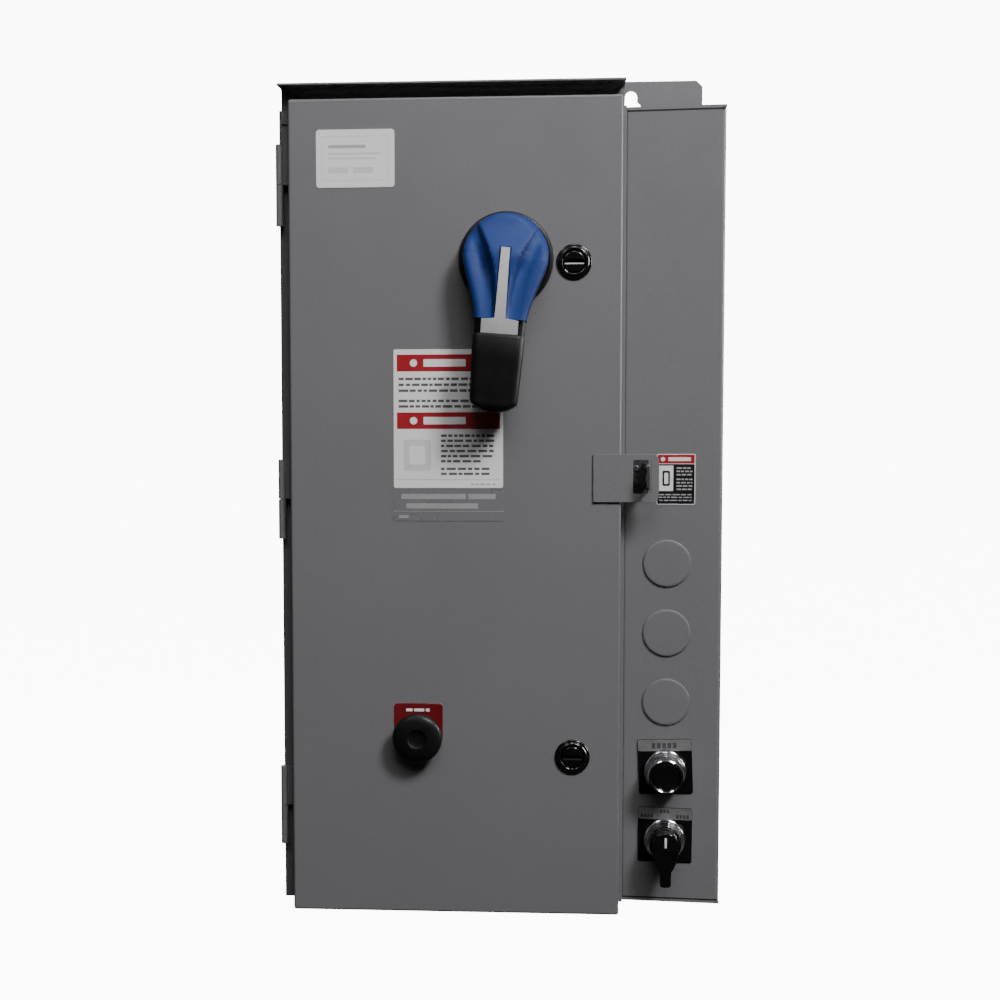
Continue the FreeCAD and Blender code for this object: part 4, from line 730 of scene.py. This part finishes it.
move_mesh(sel, panel_m(136.2, PILOT_Z[4]))
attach(sel, "selector"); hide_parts("selector_lever")

# rivets of the staple, domed
bm = bmesh.new()
for z in (34.3, 22.7):
    start = len(bm.verts)
    lathe_bm(bm, [(0, -4.0), (1.6, -4.0), (1.6, 2.0), (2.7, 2.0), (2.9, 2.3), (2.75, 2.8), (2.2, 3.2), (1.4, 3.38), (0, 3.4)], 40)
    bm.verts.ensure_lookup_table()
    for v in list(bm.verts)[start:]:
        v.co = panel_m(110.6, z) @ v.co
o = to_obj("staple_rivet_heads", bm, BLACK_STEEL, 40)
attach(o, "enclosure"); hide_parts("staple_rivets")

# A black steel foot plate, made larger than the staple's foot so that it fills the whole hasp window: partly the foot,
# partly painted shade in the window.
bm = bmesh.new()
prism_bm(bm, rrect(-9.4, 7.4, -14.6, 14.6, 2.0), 0.0, 0.9, 0, 0.2, 1)
o = to_obj("staple_foot_and_window_shade", bm, BLACK_STEEL, 30)
move_mesh(o, panel_m(113.4, 28.0))
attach(o, "enclosure")
bm = bmesh.new()
for z0, z1 in ((321.1, 322.5), (-322.5, -321.3)):
    prism_bm(bm, rrect(-39.2, 38.6, z0, z1, 0.3), -0.3, 0.05, 0)
o = to_obj("end_plate_joints", bm, SEAM, 30)
move_mesh(o, panel_m(140.8, 0.0))
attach(o, "enclosure")

# ------------------------------------------------------------------ hasp, bent along the seam so that its end lies parallel to the panel
bm = bmesh.new()
pts = [(74.6, 8.0), (121.6, 8.0), (123.9, 8.6), (125.6, 10.3), (126.3, 12.7), (126.3, 41.4), (125.6, 43.8), (123.9, 45.5), (121.6, 46.1), (74.6, 46.1)]
prism_bm(bm, pts, 187.0, 189.0, 0)
plate = to_obj("hasp_plate_bent", bm, PAINT, 30)
cb = bmesh.new()
prism_bm(cb, rrect(106.1, 120.4, 14.6, 41.6, 1.4), 185.0, 192.0, 0)
cut_with(plate, [to_obj("hasp_window_cutter", cb, PAINT, None)])
bm = bmesh.new()
bm.from_mesh(plate.data)
bmesh.ops.bisect_plane(bm, geom=list(bm.verts) + list(bm.edges) + list(bm.faces), dist=1e-7, plane_co=(0.0985, 0, 0), plane_no=(1, 0, 0))
for v in bm.verts:
    v.co.y -= max(0.0, v.co.x - 0.0985) * 0.068
bm.to_mesh(plate.data)
bm.free()
bv = plate.modifiers.new("bevel", "BEVEL")
bv.width = 0.00035
bv.segments = 2
bv.limit_method = "ANGLE"
bv.angle_limit = math.radians(35)
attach(plate, "door"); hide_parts("hasp_plate")

# ------------------------------------------------------------------ soft edges on the plain CAD pieces
for name, w in (("padlock_staple", 0.35), ("pilot_side_panel", 0.7), ("top_end", 0.6), ("bottom_end", 0.6), ("hinge_box_leaves", 0.25), ("hinge_door_leaves", 0.25), ("hinge_pins", 0.4),
                ("breaker_toggle", 0.8), ("operator_frame", 0.3), ("operator_yoke", 0.3), ("contactor_base", 0.5),
                ("contactor_armature", 0.6), ("overload_relay", 0.6), ("fuse_block", 0.6), ("terminal_block", 0.3), ("transformer_core", 0.3),
                ("ground_bar", 0.4), ("breaker_lugs", 0.4), ("contactor_terminals", 0.4), ("trip_button", 0.5), ("overload_reset", 0.8),
                ("overload_dial", 0.3), ("contact_blocks", 0.6), ("pan_nuts", 0.3), ("left_side", 0.3)):
    dress(name, NODE_MAT[name], w)


# ------------------------------------------------------------------ stage, light and camera
def area(name, loc, target, size, power, color=(1, 1, 1), size_y=None):
    d = bpy.data.lights.new(name, "AREA")
    d.energy = power
    d.color = color
    d.size = size
    if size_y:
        d.shape = "RECTANGLE"
        d.size_y = size_y
    o = bpy.data.objects.new(name, d)
    bpy.context.scene.collection.objects.link(o)
    o.location = loc
    o.rotation_mode = "QUATERNION"
    o.rotation_quaternion = (Vector(target) - Vector(loc)).to_track_quat("-Z", "Y")
    return o


# Pale floor that sweeps up all round into a pale wall: one turned surface, open to the light.
bm = bmesh.new()
FLOOR_Z = -0.75
prof = [(0.0, FLOOR_Z), (1.2, FLOOR_Z), (2.6, FLOOR_Z)]
for i in range(1, 13):
    a = math.pi / 2 * i / 12
    prof.append((2.6 + 1.4 * math.sin(a), FLOOR_Z + 1.4 - 1.4 * math.cos(a)))
for i in range(1, 13):
    a = math.pi / 2 * i / 12
    prof.append((4.0 * math.cos(a), 1.2 + 3.2 * math.sin(a)))
SEG = 72
rings = []
for r, z in prof:
    if r < 1e-6:
        rings.append([bm.verts.new((0, 0, z))])
    else:
        rings.append([bm.verts.new((r * math.cos(2 * math.pi * i / SEG), r * math.sin(2 * math.pi * i / SEG), z)) for i in range(SEG)])
for ra, rb in zip(rings[:-1], rings[1:]):
    for i in range(SEG):
        j = (i + 1) % SEG
        if len(ra) == 1:
            bm.faces.new((ra[0], rb[i], rb[j]))
        elif len(rb) == 1:
            bm.faces.new((ra[i], rb[0], ra[j]))
        else:
            bm.faces.new((ra[i], rb[i], rb[j], ra[j]))
STAGE = material("pale_backdrop", (0.86, 0.86, 0.86), rough=0.9, vary=0.01, fine=0.01, spec=0.1)
sb = STAGE.node_tree.nodes["Principled BSDF"]
sb.inputs["Emission Color"].default_value = (1.0, 1.0, 1.0, 1.0)
sb.inputs["Emission Strength"].default_value = 10.5
floor = to_obj("floor", bm, STAGE, 60, normals=False)
floor.visible_diffuse = False
floor.visible_glossy = False
floor.visible_shadow = False
floor.visible_transmission = False

world = bpy.data.worlds.new("studio")
bpy.context.scene.world = world
world.use_nodes = True
wn = world.node_tree
bg = wn.nodes["Background"]
wtc = _n(wn, "ShaderNodeTexCoord", -900, 0)
wsep = _n(wn, "ShaderNodeSeparateXYZ", -700, 0)
wn.links.new(wtc.outputs["Generated"], wsep.inputs[0])
wr = _n(wn, "ShaderNodeMapRange", -500, 0)
wr.inputs["From Min"].default_value = 0.28
wr.inputs["From Max"].default_value = 0.95
wr.inputs["To Min"].default_value = 0.010
wr.inputs["To Max"].default_value = 0.28
wn.links.new(wsep.outputs["Z"], wr.inputs["Value"])
wc = _n(wn, "ShaderNodeVectorMath", -300, 0, operation="SCALE")
wc.inputs[0].default_value = (1.0, 0.985, 1.02)
wn.links.new(wr.outputs["Result"], wc.inputs["Scale"])
wn.links.new(wc.outputs["Vector"], bg.inputs["Color"])
bg.inputs["Strength"].default_value = 1.0
area("key", (1.15, -1.75, 1.75), (0.0, -0.17, 0.18), 0.55, 66.0)
for nm, loc, tgt, sz, w, sy in (("second", (-0.95, -1.7, 1.7), (0.0, -0.17, 0.2), 0.5, 9.0, None), ("top", (0.1, -0.7, 1.9), (0.0, -0.17, 0.1), 0.5, 7.0, 0.3)):
    glint = area(nm, loc, tgt, sz, w, size_y=sy)
    glint.visible_diffuse = False
# a narrow strip that only draws the bright lines along the bends of the sheet
strip = area("right_strip", (1.75, -0.35, 0.5), (0.0, -0.15, 0.5), 0.35, 34.0, size_y=0.9)
strip.visible_diffuse = False
soft = area("fill", (0.25, -2.2, 1.75), (0.0, -0.15, 0.1), 1.3, 26.0)
soft.visible_glossy = False
# a lamp behind the part, so that its back and underside read in the other views
area("rear", (-0.4, 2.0, 1.4), (0.0, 0.0, 0.0), 1.2, 60.0)

f, P = 1370.0, np.array([450.0, 523.0])
vph, vpv = np.array([-22600.0, 468.0]), np.array([477.0, 23200.0])
dx = np.array([P[0] - vph[0], P[1] - vph[1], -f]); dx /= np.linalg.norm(dx)
dd = np.array([vpv[0] - P[0], vpv[1] - P[1], f]); dd -= dd.dot(dx) * dx; dd /= np.linalg.norm(dd)
dy = np.cross(dx, dd)
flip = np.diag([1.0, -1.0, -1.0])
cols = np.stack([flip @ dx, flip @ dy, flip @ (-dd)], 1)      # row frame to camera
rot = Matrix(cols.T.tolist())                                   # camera to row frame
cam_data = bpy.data.cameras.new("camera")
cam = bpy.data.objects.new("camera", cam_data)
bpy.context.scene.collection.objects.link(cam)
cam.rotation_mode = "QUATERNION"
cam.matrix_world = Matrix.Translation((0.0254, -1.287, 0.0575)) @ rot.to_4x4()
cam_data.sensor_width = 36.0
cam_data.lens = f * 36.0 / 1000.0
cam_data.shift_x = (500.0 - P[0]) / 1000.0
cam_data.shift_y = (P[1] - 500.0) / 1000.0
cam_data.clip_start, cam_data.clip_end = 0.05, 50.0
bpy.context.scene.camera = cam

bpy.context.view_layer.update()
